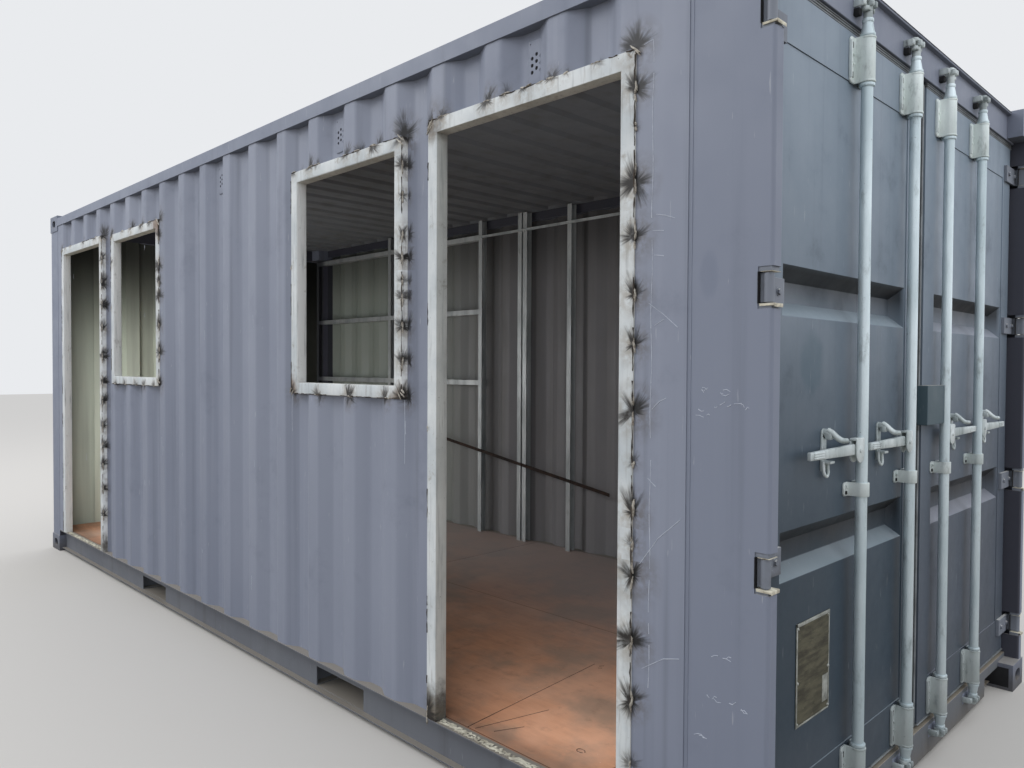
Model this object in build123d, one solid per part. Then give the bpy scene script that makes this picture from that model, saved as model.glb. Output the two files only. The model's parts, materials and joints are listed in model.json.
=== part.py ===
from build123d import *
import math
import os

# Shipping container cabin: a 20 ft steel container with two doorways and two windows
# framed into one long wall. Millimetres, +Z up, origin on the ground at the middle.
# +X is the cargo door end, -X the far end, -Y the front wall with the doorways and
# windows, +Y the back wall.

# Overall box of the container
length = 6058.0
width = 2438.0
height = 2591.0
end_x = length / 2
side_y = width / 2

# Corner castings
casting_length = 178.0
casting_width = 162.0
casting_height = 118.0
casting_wall = 14.0
casting_slot_length = 124.0
casting_slot_width = 63.5
casting_side_slot = 79.0
casting_side_slot_high = 51.0

# Frame members set a little inside the castings' faces
post_inset = 4.0
post_wall = 6.0
post_face_y = side_y - post_inset
door_post_depth = 47.0
door_post_inner_y = post_face_y - door_post_depth
door_post_length = 232.0
door_post_front_x = end_x - door_post_length
door_post_lap = 32.0
door_post_radius = 10.0
far_post_length = casting_length - post_inset
far_post_width = 60.0

# Levels
base_z = 20.0
floor_z = 166.0
floor_thickness = 28.0
sill_top_z = 138.0
header_drop = 8.0
header_height = 118.0
header_top_z = height - header_drop
header_bottom_z = header_top_z - header_height
roof_drop = 23.0
rail_top_z = height - roof_drop

# Side rails
top_rail_size = 60.0
top_rail_wall = 3.0
bottom_rail_flange = 48.0
bottom_rail_lip = 29.0
bottom_rail_wall = 4.5

# Corrugated side wall sheet, seen from outside
sheet = 2.0
wall_inset = 5.0
wall_face_y = side_y - wall_inset
crest_flat = 72.0
crest_slope = 68.0
trough_flat = 73.7
wall_depth = 36.0
wall_pitch = crest_flat + crest_slope + trough_flat + crest_slope
first_crest_gap = 60.2
first_crest_x = -end_x + casting_length + first_crest_gap
wall_end_gap = 12.0
wall_end_x = door_post_front_x - wall_end_gap
crest_count = int((wall_end_x - first_crest_x) // wall_pitch) + 1

# Corrugated far end wall
end_wall_inset = 10.0
end_crest = 110.0
end_slope = 18.0
end_trough = 104.0
end_depth = 45.6

# Roof sheet with pressed ridges
roof_ridge_pitch = 209.0
roof_ridge_width = 135.0
roof_ridge_slope = 24.0
roof_ridge_rise = 14.0
roof_margin = 62.0

# Openings in the front wall, outer size of the tube frames
tube = 50.0
tube_wall = 3.0
doorway_width = 912.0
doorway_drop = 269.0
doorway_top_z = height - doorway_drop
near_doorway_inset = 870.0
near_doorway_x = end_x - near_doorway_inset
far_doorway_inset = 744.0
far_doorway_x = -end_x + far_doorway_inset
window_width = 822.0
window_height = 982.0
window_drop = 20.0
window_top_z = doorway_top_z - window_drop
window_bottom_z = window_top_z - window_height
near_window_offset = 1021.5
near_window_x = near_doorway_x - near_window_offset
far_window_offset = 1054.5
far_window_x = far_doorway_x + far_window_offset

# Floor frame
cross_flange = 45.0
cross_wall = 4.0
cross_end_gap = 229.0
cross_end_x = end_x - cross_end_gap
pocket_centre_x = 1045.0
pocket_width = 366.0
pocket_height = 86.0
pocket_plate = 6.0
cross_height = floor_z - floor_thickness - base_z - pocket_plate
pocket_roof = 3.0
pocket_strap = 200.0

# Cargo door leaves
leaf_setback = 69.0
leaf_face_x = end_x - leaf_setback
leaf_depth = 52.0
leaf_side_gap = 74.0
leaf_hinge_y = side_y - leaf_side_gap
leaf_meeting_y = 33.0
leaf_edge_gap = 22.0
leaf_bottom_z = sill_top_z + leaf_edge_gap
leaf_top_z = header_bottom_z - leaf_edge_gap
stile_width = 110.0
leaf_rail_height = 147.0
leaf_wall = 4.0
panel_recess = 3.0
panel_x = leaf_face_x - panel_recess
press_height = 137.0
press_depth = 38.0
press_slope = 40.0
press_side_gap = 6.0
press_levels = (938.0, 1651.0)
seal_gap = 5.0
seal_depth = 34.0
seal_inset = 10.0
seal_back_x = leaf_face_x - seal_inset - seal_depth
meeting_gap = 10.0

# End frame members at the cargo doors
frame_setback = 61.0
frame_face_x = end_x - frame_setback
frame_depth = 78.0
frame_back_x = frame_face_x - frame_depth
frame_wall = 5.0
header_lip = 17.0
header_lip_height = 10.0
sill_cut_width = 200.0
sill_cut_height = 75.0
sill_cut_depth = 30.0

# Door hinges
pin_setback = 22.0
pin_x = end_x - pin_setback
pin_side_gap = 19.0
pin_y = side_y - pin_side_gap
pin_radius = 8.0
pin_clearance = 0.1
eye_radius = 12.5
blade_thickness = 12.0
blade_height = 72.0
blade_reach = 150.0
blade_tail = 3.0
notch_height = 103.0
notch_depth = 44.0
notch_outer_x = end_x - notch_depth
notch_inner_depth = 79.0
notch_inner_x = end_x - notch_inner_depth
lug_thickness = 12.0
hinge_end_gap = 147.0
hinge_levels = (sill_top_z + hinge_end_gap - 10, 940.0, 1640.0, header_bottom_z - hinge_end_gap)

# Lock rods, their bearings and cams
rod_setback = 35.0
rod_x = end_x - rod_setback
rod_radius = 17.0
rod_clearance = 0.5
outer_rod_inset = 559.0
outer_rod_y = leaf_hinge_y - outer_rod_inset
inner_rod_inset = 145.0
inner_rod_y = leaf_meeting_y + inner_rod_inset
bracket_height = 136.0
low_bracket_gap = 95.0
high_bracket_gap = 105.0
bracket_levels = (sill_top_z + low_bracket_gap, header_bottom_z - high_bracket_gap)
guide_height = 42.0
guide_level = 1081.0
bracket_wall = 5.0
bracket_flange = 52.0
bracket_plate = 6.0
bracket_clip = 8.0
collar_radius = 22.0
collar_height = 10.0
collar_gap = 1.0
neck_radius = 13.0
low_cam_drop = 38.0
high_cam_rise = 55.0
cam_levels = (sill_top_z - low_cam_drop, header_bottom_z + high_cam_rise)
cam_height = 40.0
cam_slot = 12.0
neck_taper = 42.0
neck_base_radius = 20.0
cam_reach = 17.0
cam_radius = 13.0
keeper_plate = 4.0
keeper_width = 100.0
keeper_height = 48.0
ear_tip_height = 26.0
ear_gap = 36.0
ear_thickness = 10.0
ear_reach = 34.0

# Handles, catches, lock box and the bare plate
handle_level = 1206.0
handle_length = 362.0
handle_height = 34.0
handle_tip_height = 23.0
handle_thickness = 12.0
handle_offset = -3.0
handle_x = rod_x + handle_offset
grip_length = 88.0
grip_swell = 1.5
hub_rise = 33.0
hub_drop = 40.0
hub_near = 9.0
hub_reach = 76.0
hub_cheek = 5.0
hub_gap = 1.0
hub_corner = 14.0
hub_pin_radius = 6.5
hub_pin_at = 46.0
catch_offset = 190.0
catch_width = 30.0
catch_clearance = 6.0
catch_reach = 49.0
catch_foot = 20.0
catch_head = 44.0
catch_ledge = 8.0
catch_arm = 13.0
catch_arm_reach = 74.0
catch_boss_radius = 8.0
catch_eye_drop = 40.0
catch_eye_bore = 7.5
catch_eye_plate = 6.0
lock_box_width = 182.0
lock_box_height = 140.0
lock_box_depth = 38.0
lock_box_bottom_z = 1245.0
plate_width = 212.0
plate_height = 290.0
plate_thickness = 1.5
plate_side_gap = 323.0
plate_centre_y = -leaf_hinge_y + plate_side_gap
plate_centre_z = 594.0

# Ventilator covers in the troughs
vent_width = 70.0
vent_height = 140.0
vent_proud = 5.0
vent_drop = 184.0
vent_centre_z = height - vent_drop
vent_first = 3
vent_step = 4
vent_count = 3
vent_troughs = [crest_count - vent_first - vent_step * i for i in range(vent_count)]

# Wall framing inside, against the back wall
stud_depth = 50.0
stud_width = 38.0
stud_wall = 1.5
stud_pitch = 455.0
first_stud_x = -572.0
double_stud = 1
double_gap = 16.0
bay_stud_x = -1757.0
corner_stud_gap = 79.0
corner_stud_x = -end_x + corner_stud_gap
stud_count = int((frame_back_x - first_stud_x) // stud_pitch) + 1
noggin_levels = (1320.0, 1868.0)
noggin_height = 38.0
top_track_drop = 150.0
top_track_z = height - top_track_drop
brace_width = 22.0
brace_thickness = 6.0
brace_right = (704.0, 600.0)
brace_left = (-1757.0, 982.0)
stud_back_y = post_face_y - far_post_width


def block(x0, x1, y0, y1, z0, z1):
    """A box given by its low and high corners."""
    return Pos((x0 + x1) / 2, (y0 + y1) / 2, (z0 + z1) / 2) * Box(x1 - x0, y1 - y0, z1 - z0)


def prism(points, z0, z1):
    """An upright prism on a closed outline."""
    outline = make_face(Polyline(*points, close=True))
    return Pos(0, 0, z0) * extrude(outline, z1 - z0)


def post(x, y, radius, z0, z1):
    """An upright round bar."""
    return Pos(x, y, (z0 + z1) / 2) * Cylinder(radius, z1 - z0)


def side_prism(points, y0, y1):
    """A prism along Y on a closed outline of x and z."""
    outline = make_face(Polyline(*[(x, y0, z) for x, z in points], close=True))
    return extrude(outline, y1 - y0, dir=(0, 1, 0))


def face_prism(points, x0, x1):
    """A prism along X on a closed outline of y and z."""
    outline = make_face(Polyline(*[(x0, y, z) for y, z in points], close=True))
    return extrude(outline, x1 - x0, dir=(1, 0, 0))


def pin_along_x(x0, x1, y, z, radius):
    """A round pin along X."""
    return Pos((x0 + x1) / 2, y, z) * Rot(0, 90, 0) * Cylinder(radius, x1 - x0)


def across(shape):
    """The same shape on the other side of the long centre line."""
    return mirror(shape, about=Plane.XZ)


def save(name, *pieces):
    solids = [solid for piece in pieces for solid in piece.solids()]
    shape = solids[0] if len(solids) == 1 else Compound(solids)
    export_step(shape, f"parts/{name}.step")


def pressed_sheet(long, wide, thickness, centres, press_long, press_wide, depth, slope):
    """A flat sheet, face up at z = 0, with pans pressed down into it."""
    pan = loft([
        Rectangle(press_long, press_wide),
        Pos(0, 0, -depth) * Rectangle(press_long - 2 * slope, press_wide - 2 * slope),
    ])
    body = Pos(0, 0, -thickness / 2) * Box(long, wide, thickness)
    for u, v in centres:
        body += Pos(u, v, -thickness) * pan
    for u, v in centres:
        body -= Pos(u, v, 0) * pan
    return body


def corrugation_at(x):
    """How far the side wall's outer face lies behind its crests at x."""
    if x <= first_crest_x or x >= first_crest_x + wall_pitch * (crest_count - 1):
        return 0.0
    along = (x - first_crest_x) % wall_pitch
    if along <= crest_flat:
        return 0.0
    if along <= crest_flat + crest_slope:
        return wall_depth * (along - crest_flat) / crest_slope
    if along <= crest_flat + crest_slope + trough_flat:
        return wall_depth
    return wall_depth * (wall_pitch - along) / crest_slope


def side_sheet(x0, x1, z0, z1):
    """A stretch of corrugated sheet on the front side."""
    bends = []
    for crest in range(crest_count):
        start = first_crest_x + crest * wall_pitch
        for step in (0, crest_flat, crest_flat + crest_slope, crest_flat + crest_slope + trough_flat):
            bends.append(start + step)
    last_bend = first_crest_x + wall_pitch * (crest_count - 1)
    stations = [x0] + [x for x in bends if x0 + 1 < x < x1 - 1 and x <= last_bend + 1] + [x1]
    outer = [(x, -wall_face_y + corrugation_at(x)) for x in stations]
    inner = [(x, y + sheet) for x, y in reversed(outer)]
    return prism(outer + inner, z0, z1)


def tube_frame(x_centre, outer_width, z0, z1, with_sill):
    """Square tube welded round an opening, its outer faces flush with the rails."""
    half = outer_width / 2
    y0 = -side_y
    y1 = y0 + tube
    bottom = z0 + tube if with_sill else z0
    frame = block(x_centre - half, x_centre + half, y0, y1, z0, z1)
    frame -= block(x_centre - half + tube, x_centre + half - tube, y0, y1, bottom, z1 - tube)
    w = tube_wall
    hollow = block(x_centre - half + w, x_centre + half - w, y0 + w, y1 - w,
                   z0 + w if with_sill else z0, z1 - w)
    hollow -= block(x_centre - half + tube - w, x_centre + half - tube + w, y0, y1,
                    bottom - w if with_sill else z0, z1 - tube + w)
    return frame - hollow


def casting():
    """One corner casting, for the top, door end, front corner, with its corner at the origin."""
    body = block(-casting_length, 0, 0, casting_width, -casting_height, 0)
    w = casting_wall
    body -= block(-casting_length + w, -w, w, casting_width - w, -casting_height + w, -w)
    middle_x = -casting_length / 2
    middle_y = casting_width / 2
    middle_z = -casting_height / 2
    top_slot = SlotOverall(casting_slot_length, casting_slot_width)
    body -= Pos(middle_x, middle_y, -2 * w) * extrude(top_slot, 3 * w)
    side_slot = SlotOverall(casting_side_slot, casting_side_slot_high)
    side_plane = Plane(origin=(middle_x, -w, middle_z), x_dir=(1, 0, 0), z_dir=(0, 1, 0))
    body -= side_plane.location * extrude(side_slot, 3 * w)
    end_plane = Plane(origin=(w, middle_y, middle_z), x_dir=(0, 1, 0), z_dir=(-1, 0, 0))
    body -= end_plane.location * extrude(side_slot, 3 * w)
    return body


def corner_castings():
    one = Pos(end_x, -side_y, height) * casting()
    pair = [one, mirror(one, about=Plane.YZ)]
    four = pair + [across(piece) for piece in pair]
    low = Plane.XY.offset(height / 2)
    return four + [mirror(piece, about=low) for piece in four]


def hinge_notches():
    """What is cut from the front door post round its hinges."""
    cuts = []
    for level in hinge_levels:
        z0 = level - notch_height / 2
        z1 = level + notch_height / 2
        cuts.append(block(notch_outer_x, end_x, -side_y, -door_post_inner_y + 1, z0, z1))
        cuts.append(block(notch_inner_x, end_x, -post_face_y + post_wall, -door_post_inner_y + 1, z0, z1))
    return cuts


def door_post():
    x0 = door_post_front_x
    x1 = end_x - post_inset
    y0 = -post_face_y
    y1 = -door_post_inner_y
    z0 = casting_height
    z1 = height - casting_height
    w = post_wall
    body = block(x0, x1, y0, y1, z0, z1)
    body = fillet(body.edges().filter_by(Axis.Z).group_by(Axis.X)[-1], door_post_radius)
    body -= block(x0 + w, x1 - w, y0 + w, y1 - w, z0, z1)
    lap_y = -wall_face_y + sheet
    body += block(x0 - door_post_lap, x0, lap_y, lap_y + w, floor_z, z1)
    casting_x = end_x - casting_length
    body -= block(x0 - door_post_lap, casting_x, y0, y1, 0, floor_z)
    for cut in hinge_notches():
        body -= cut
    return body


def hinge_pin(level):
    """A hinge pin held between its two lugs in the post's notch."""
    z0 = level - notch_height / 2
    z1 = level + notch_height / 2
    y1 = -door_post_inner_y - post_wall
    x1 = end_x - post_inset - door_post_radius / 2
    y0 = -post_face_y + door_post_radius / 4
    pin = post(pin_x, -pin_y, pin_radius, z0, z1)
    low = block(notch_outer_x, x1, y0, y1, z0, z0 + lug_thickness)
    high = block(notch_outer_x, x1, y0, y1, z1 - lug_thickness, z1)
    return pin + low + high


def hinge_blade(level):
    """A blade bolted to the leaf's face, cranked round to its eye on the pin."""
    z0 = level - blade_height / 2
    z1 = level + blade_height / 2
    y0 = -pin_y - blade_tail
    plate = block(leaf_face_x, leaf_face_x + blade_thickness, y0, -pin_y + blade_reach, z0, z1)
    arm = block(leaf_face_x, pin_x, y0, -pin_y + eye_radius, z0, z1)
    eye = post(pin_x, -pin_y, eye_radius, z0, z1)
    bore = post(pin_x, -pin_y, pin_radius + pin_clearance, z0, z1)
    return plate + arm + eye - bore


def door_leaf():
    """The front leaf: tube stiles, channel rails and a pressed panel."""
    x0 = leaf_face_x - leaf_depth
    x1 = leaf_face_x
    w = leaf_wall
    body = None
    for y0 in (-leaf_hinge_y, -leaf_meeting_y - stile_width):
        stile = block(x0, x1, y0, y0 + stile_width, leaf_bottom_z, leaf_top_z)
        stile -= block(x0 + w, x1 - w, y0 + w, y0 + stile_width - w, leaf_bottom_z, leaf_top_z)
        body = stile if body is None else body + stile
    panel_y0 = -leaf_hinge_y + stile_width
    panel_y1 = -leaf_meeting_y - stile_width
    for z0 in (leaf_bottom_z, leaf_top_z - leaf_rail_height):
        rail = block(x0, x1, panel_y0, panel_y1, z0, z0 + leaf_rail_height)
        rail -= block(x0, x1 - w, panel_y0, panel_y1, z0 + w, z0 + leaf_rail_height - w)
        body += rail
    panel_z0 = leaf_bottom_z + leaf_rail_height
    panel_z1 = leaf_top_z - leaf_rail_height
    middle_y = (panel_y0 + panel_y1) / 2
    middle_z = (panel_z0 + panel_z1) / 2
    plane = Plane(origin=(panel_x, middle_y, middle_z), x_dir=(0, 1, 0), z_dir=(1, 0, 0))
    centres = [(0, level - middle_z) for level in press_levels]
    panel = pressed_sheet(panel_y1 - panel_y0, panel_z1 - panel_z0, sheet, centres,
                          panel_y1 - panel_y0 - 2 * press_side_gap, press_height, press_depth, press_slope)
    return body + plane.location * panel


def door_seal(meeting_y, inner_y):
    """Rubber round the front leaf's edge, out to meeting_y beyond its inner edge."""
    hinge_y = -door_post_inner_y + seal_gap
    z0 = sill_top_z + seal_gap
    z1 = header_bottom_z - seal_gap
    ring = block(seal_back_x, seal_back_x + seal_depth, hinge_y, meeting_y, z0, z1)
    return ring - block(seal_back_x, seal_back_x + seal_depth, -leaf_hinge_y, inner_y, leaf_bottom_z, leaf_top_z)


def rod_bearing(y, level, high, base_x):
    """A pressed hat bracket that holds a lock rod against the leaf."""
    z0 = level - high / 2
    z1 = level + high / 2
    bore = rod_radius + rod_clearance
    shell = bore + bracket_wall
    body = post(rod_x, y, shell, z0, z1)
    body += block(base_x, rod_x, y - shell, y + shell, z0, z1)
    clip = bracket_clip
    flange = [(y - bracket_flange, z0 + clip), (y - bracket_flange + clip, z0), (y + bracket_flange - clip, z0),
              (y + bracket_flange, z0 + clip), (y + bracket_flange, z1 - clip), (y + bracket_flange - clip, z1),
              (y - bracket_flange + clip, z1), (y - bracket_flange, z1 - clip)]
    body += face_prism(flange, base_x, base_x + bracket_plate)
    body -= post(rod_x, y, bore, z0, z1)
    return body - block(base_x, rod_x, y - bore, y + bore, z0, z1)


def handle_catch(y):
    """A catch on the leaf: an eyed ledge below the handle and a hooked arm above it."""
    low = handle_level - handle_height / 2 - catch_clearance
    high = handle_level + handle_height / 2 + catch_clearance
    half = catch_width / 2
    top = high + catch_head - half
    x1 = panel_x + catch_reach
    back = panel_x + bracket_plate
    body = block(panel_x, back, y - half, y + half, low - catch_ledge - catch_foot, top)
    body += pin_along_x(panel_x, back, y, top, half)
    body += pin_along_x(panel_x, x1, y, top - half / 2, catch_boss_radius)
    body += block(panel_x, x1, y - half, y + half, low - catch_ledge, low)
    eye_z = low - catch_eye_drop + half
    eye = block(x1 - catch_eye_plate, x1, y - half, y + half, eye_z, low)
    eye += pin_along_x(x1 - catch_eye_plate, x1, y, eye_z, half)
    body += eye - pin_along_x(x1 - catch_eye_plate, x1, y, eye_z, catch_eye_bore)
    reach = catch_arm_reach
    arm = [(y - 7, top - 2), (y - 7, top - 18), (y + 14, high + 8), (y + 30, high), (y + reach - 12, high),
           (y + reach, high + 7), (y + reach - 4, high + 16), (y + reach - 18, high + 10), (y + 34, high + 10),
           (y + 22, high + 15), (y + 7, top - 10), (y + 7, top - 2)]
    return body + face_prism(arm, x1 - catch_arm, x1)


def cam(y, level, side):
    """A forked cam head whose nose points to the side that the handle points to."""
    z0 = level - cam_height / 2
    z1 = level + cam_height / 2
    nose_y = y + side * cam_reach
    head = post(rod_x, nose_y, cam_radius, z0, z1)
    head += block(rod_x - cam_radius, rod_x + cam_radius, min(y, nose_y), max(y, nose_y), z0, z1)
    slot_y = sorted((y + side * neck_radius, nose_y + side * 2 * cam_radius))
    slot = block(rod_x - 2 * cam_radius, rod_x + 2 * cam_radius, slot_y[0], slot_y[1],
                 level - cam_slot / 2, level + cam_slot / 2)
    return head - slot


def rod_profile():
    """The rod's half outline: necks tapering to the cams and a collar inside each bracket."""
    half = bracket_height / 2 + collar_gap
    low, high = bracket_levels
    return [
        (0, cam_levels[0]), (neck_radius, cam_levels[0]), (neck_radius, low - half - neck_taper),
        (neck_base_radius, low - half), (rod_radius, low - half), (rod_radius, low + half),
        (collar_radius, low + half), (collar_radius, low + half + collar_height),
        (rod_radius, low + half + collar_height), (rod_radius, high - half - collar_height),
        (collar_radius, high - half - collar_height), (collar_radius, high - half), (rod_radius, high - half),
        (rod_radius, high + half), (neck_base_radius, high + half), (neck_radius, high + half + neck_taper),
        (neck_radius, cam_levels[1]), (0, cam_levels[1]),
    ]


def clevis(y, side):
    """The hub on the rod's side: two cheeks joined over the handle, with the handle's pin."""
    z0 = handle_level - hub_drop
    z1 = handle_level + hub_rise
    x0 = handle_x - hub_gap - hub_cheek
    x1 = handle_x + handle_thickness + hub_gap + hub_cheek
    y0 = y + side * hub_near
    y1 = y + side * hub_reach
    corner = side * hub_corner
    outline = [(y0, z0 + hub_corner), (y0 + corner, z0), (y1 - corner, z0), (y1, z0 + hub_corner),
               (y1, z1 - hub_corner), (y1 - corner, z1), (y0, z1)]
    body = face_prism(outline, x0, x1)
    body -= block(x0 + hub_cheek, x1 - hub_cheek, min(y0, y1) - 1, max(y0, y1) + 1, z0 - 1, z1 - hub_cheek)
    return body + pin_along_x(x0, x1 + hub_cheek / 2, y + side * hub_pin_at, handle_level, hub_pin_radius)


def lock_handle(y, side):
    """A flat handle that tapers from the hub to a thicker grip."""
    half = handle_height / 2
    tip = handle_tip_height / 2
    end = y + side * handle_length
    bar = [(y, handle_level - half), (end - side * 8, handle_level - tip), (end, handle_level - tip + 6),
           (end, handle_level + tip - 6), (end - side * 8, handle_level + tip), (y, handle_level + half)]
    grip_y = sorted((end - side * grip_length, end - side * 10))
    grip = block(handle_x - grip_swell, handle_x + handle_thickness + grip_swell, grip_y[0], grip_y[1],
                 handle_level - tip + 2, handle_level + tip - 2)
    return face_prism(bar, handle_x, handle_x + handle_thickness) + grip


def lock_rod(y, side):
    """A lock rod with its cams, hub and handle, all turning as one."""
    outline = make_face(Polyline(*[(r, 0, z) for r, z in rod_profile()], close=True))
    body = Pos(rod_x, y, 0) * revolve(outline, Axis.Z, 360)
    for level in cam_levels:
        body += cam(y, level, side)
    return body + clevis(y, side) + lock_handle(y, side)


def keeper(y, level):
    """A cam keeper: a plate with a tapered ear on each side of the cam."""
    x0 = frame_face_x
    half = keeper_height / 2
    tip = ear_tip_height / 2
    outline = [(x0, level - half), (x0 + ear_reach, level - tip), (x0 + ear_reach, level + tip), (x0, level + half)]
    body = block(x0, x0 + keeper_plate, y - keeper_width / 2, y + keeper_width / 2, level - half, level + half)
    body += side_prism(outline, y + ear_gap, y + ear_gap + ear_thickness)
    return body + side_prism(outline, y - ear_gap - ear_thickness, y - ear_gap)


def bottom_rail():
    """Channel rail below the front wall, its flanges turned outward, cut for the fork pockets."""
    x1 = end_x - casting_length
    web_y = -side_y + bottom_rail_flange
    w = bottom_rail_wall
    body = block(-x1, x1, web_y, web_y + w, base_z, floor_z)
    body += block(-x1, x1, -side_y, web_y, floor_z - w, floor_z)
    body += block(-x1, x1, web_y - bottom_rail_lip, web_y, base_z, base_z + w)
    for centre in (-pocket_centre_x, pocket_centre_x):
        low = base_z + pocket_plate
        body -= block(centre - pocket_width / 2, centre + pocket_width / 2,
                      web_y, web_y + w, low, low + pocket_height)
    return body


def top_rail():
    x1 = end_x - casting_length
    y0 = -side_y
    y1 = y0 + top_rail_size
    w = top_rail_wall
    z0 = rail_top_z - top_rail_size
    return block(-x1, x1, y0, y1, z0, rail_top_z) - block(-x1, x1, y0 + w, y1 - w, z0 + w, rail_top_z - w)


def cross_member(x):
    """A channel across the floor frame."""
    y1 = side_y - bottom_rail_flange - bottom_rail_wall
    z1 = floor_z - floor_thickness
    z0 = z1 - cross_height
    w = cross_wall
    body = block(x - cross_flange / 2, x + cross_flange / 2, -y1, y1, z0, z1)
    return body - block(x - cross_flange / 2 + w, x + cross_flange / 2, -y1, y1, z0 + w, z1 - w)


def cross_group(x0, x1, count):
    step = (x1 - x0) / (count - 1)
    return [cross_member(x0 + step * i) for i in range(count)]


def fork_pocket(centre):
    y1 = side_y - bottom_rail_flange - bottom_rail_wall
    low = base_z
    plate_x = pocket_width / 2 + cross_flange
    ceiling = low + pocket_plate + pocket_height
    pieces = [block(centre - pocket_width / 2, centre + pocket_width / 2, -y1, y1, ceiling, ceiling + pocket_roof)]
    for y0 in (-y1, y1 - pocket_strap):
        pieces.append(block(centre - plate_x, centre + plate_x, y0, y0 + pocket_strap, low, low + pocket_plate))
    return pieces


def far_post():
    x0 = -end_x + post_inset
    y0 = -post_face_y
    x1 = x0 + far_post_length
    y1 = y0 + far_post_width
    w = post_wall
    z0 = casting_height
    z1 = height - casting_height
    body = block(x0, x1, y0, y1, z0, z1)
    body = fillet(body.edges().filter_by(Axis.Z).group_by(Axis.X)[0], door_post_radius)
    return body - block(x0 + w, x1 - w, y0 + w, y1 - w, z0, z1)


def end_rail(x0, x1, z0, z1, wide_y, wide_z0, wide_z1):
    """A boxed end rail: between the castings, and wider where it runs between the posts."""
    inner_y = side_y - casting_width
    w = frame_wall
    body = block(x0, x1, -inner_y, inner_y, z0, z1)
    body += block(x0, x1, -wide_y, wide_y, wide_z0, wide_z1)
    return body - block(x0 + w, x1 - w, -inner_y, inner_y, z0 + w, z1 - w)


def end_wall():
    """Corrugated sheet between the far posts."""
    half = post_face_y - far_post_width
    pitch = end_crest + end_slope + end_trough + end_slope
    count = int((2 * half - end_crest) // pitch)
    start = -(count * pitch + end_crest) / 2
    crest_x = -end_x + end_wall_inset
    outer = [(crest_x, -half)]
    for i in range(count):
        y = start + i * pitch + end_crest
        outer.append((crest_x, y))
        outer.append((crest_x + end_depth, y + end_slope))
        outer.append((crest_x + end_depth, y + end_slope + end_trough))
        outer.append((crest_x, y + pitch - end_crest))
    outer.append((crest_x, half))
    inner = [(x + sheet, y) for x, y in reversed(outer)]
    return prism(outer + inner, sill_top_z, header_bottom_z)


def roof():
    """Roof sheet lapped on the side rails, with pressed cross ridges, cut round the castings."""
    x0 = -end_x + end_wall_inset + end_depth + sheet
    x1 = frame_back_x
    count = int((x1 - x0 - roof_margin) // roof_ridge_pitch)
    first = -(count - 1) * roof_ridge_pitch / 2
    centres = [(first + i * roof_ridge_pitch, 0) for i in range(count)]
    wide = 2 * (side_y - roof_margin / 4)
    long_press = 2 * (side_y - roof_margin - top_rail_size / 4)
    body = pressed_sheet(x1 - x0, wide, sheet, centres, roof_ridge_width, long_press,
                         roof_ridge_rise, roof_ridge_slope)
    plane = Plane(origin=((x0 + x1) / 2, 0, rail_top_z), x_dir=(1, 0, 0), z_dir=(0, 0, -1))
    body = plane.location * body
    for corner_x in (-end_x, end_x - casting_length):
        for corner_y in (-side_y, side_y - casting_width):
            body -= block(corner_x, corner_x + casting_length, corner_y, corner_y + casting_width,
                          rail_top_z - sheet, height)
    return body


def ventilator(trough):
    """A shallow cover seated in a trough of the front wall."""
    x = first_crest_x + trough * wall_pitch + crest_flat + crest_slope + trough_flat / 2
    y = -wall_face_y + wall_depth
    return block(x - vent_width / 2, x + vent_width / 2, y - vent_proud, y,
                 vent_centre_z - vent_height / 2, vent_centre_z + vent_height / 2)


def stud(x, z0, z1):
    """A light channel stud standing against the back wall."""
    y1 = stud_back_y
    y0 = y1 - stud_depth
    w = stud_wall
    body = block(x - stud_width / 2, x + stud_width / 2, y0, y1, z0, z1)
    return body - block(x - stud_width / 2 + w, x + stud_width / 2, y0 + w, y1 - w, z0, z1)


def wall_brace():
    """A flat bar tacked slantwise over the studs' faces."""
    half = brace_width / 2
    bar = make_face(Polyline((brace_left[0], brace_left[1] - half), (brace_right[0], brace_right[1] - half),
                             (brace_right[0], brace_right[1] + half), (brace_left[0], brace_left[1] + half),
                             close=True))
    plane = Plane(origin=(0, stud_back_y - stud_depth, 0), x_dir=(1, 0, 0), z_dir=(0, -1, 0))
    return plane.location * extrude(bar, brace_thickness)


def rail_between(x0, x1, level, high):
    """A light channel laid flat between two studs."""
    y1 = stud_back_y
    y0 = y1 - stud_depth
    w = stud_wall
    body = block(x0, x1, y0, y1, level - high / 2, level + high / 2)
    return body - block(x0, x1, y0 + w, y1, level - high / 2 + w, level + high / 2 - w)


os.makedirs("parts", exist_ok=True)

# End frames and rails
save("corner_castings", *corner_castings())
save("door_end_posts", door_post(), across(door_post()))
sill = end_rail(frame_back_x, frame_face_x, base_z, sill_top_z, door_post_inner_y, casting_height, sill_top_z)
sill_inner_y = side_y - casting_width
for side in (-1, 1):
    cut_y = sorted((side * sill_inner_y, side * (sill_inner_y - sill_cut_width)))
    sill -= block(frame_face_x - sill_cut_depth, frame_face_x, cut_y[0], cut_y[1], base_z, base_z + sill_cut_height)
save("door_end_sill", sill)
header = end_rail(frame_back_x, frame_face_x, height - casting_height, header_top_z,
                  door_post_inner_y, header_bottom_z, height - casting_height)
header += block(frame_face_x, frame_face_x + header_lip, -sill_inner_y, sill_inner_y,
                header_top_z - header_lip_height, header_top_z)
save("door_end_header", header)
save("far_end_posts", far_post(), across(far_post()))
far_wide_y = post_face_y - far_post_width
far_x0 = -end_x + post_inset
far_x1 = -end_x + end_wall_inset + end_depth + sheet
far_sill = end_rail(far_x0, far_x1, base_z, sill_top_z, far_wide_y, casting_height, sill_top_z)
far_header = end_rail(far_x0, far_x1, height - casting_height, header_top_z,
                      far_wide_y, header_bottom_z, height - casting_height)
save("far_end_rails", far_sill, far_header)
save("top_side_rails", top_rail(), across(top_rail()))
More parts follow.
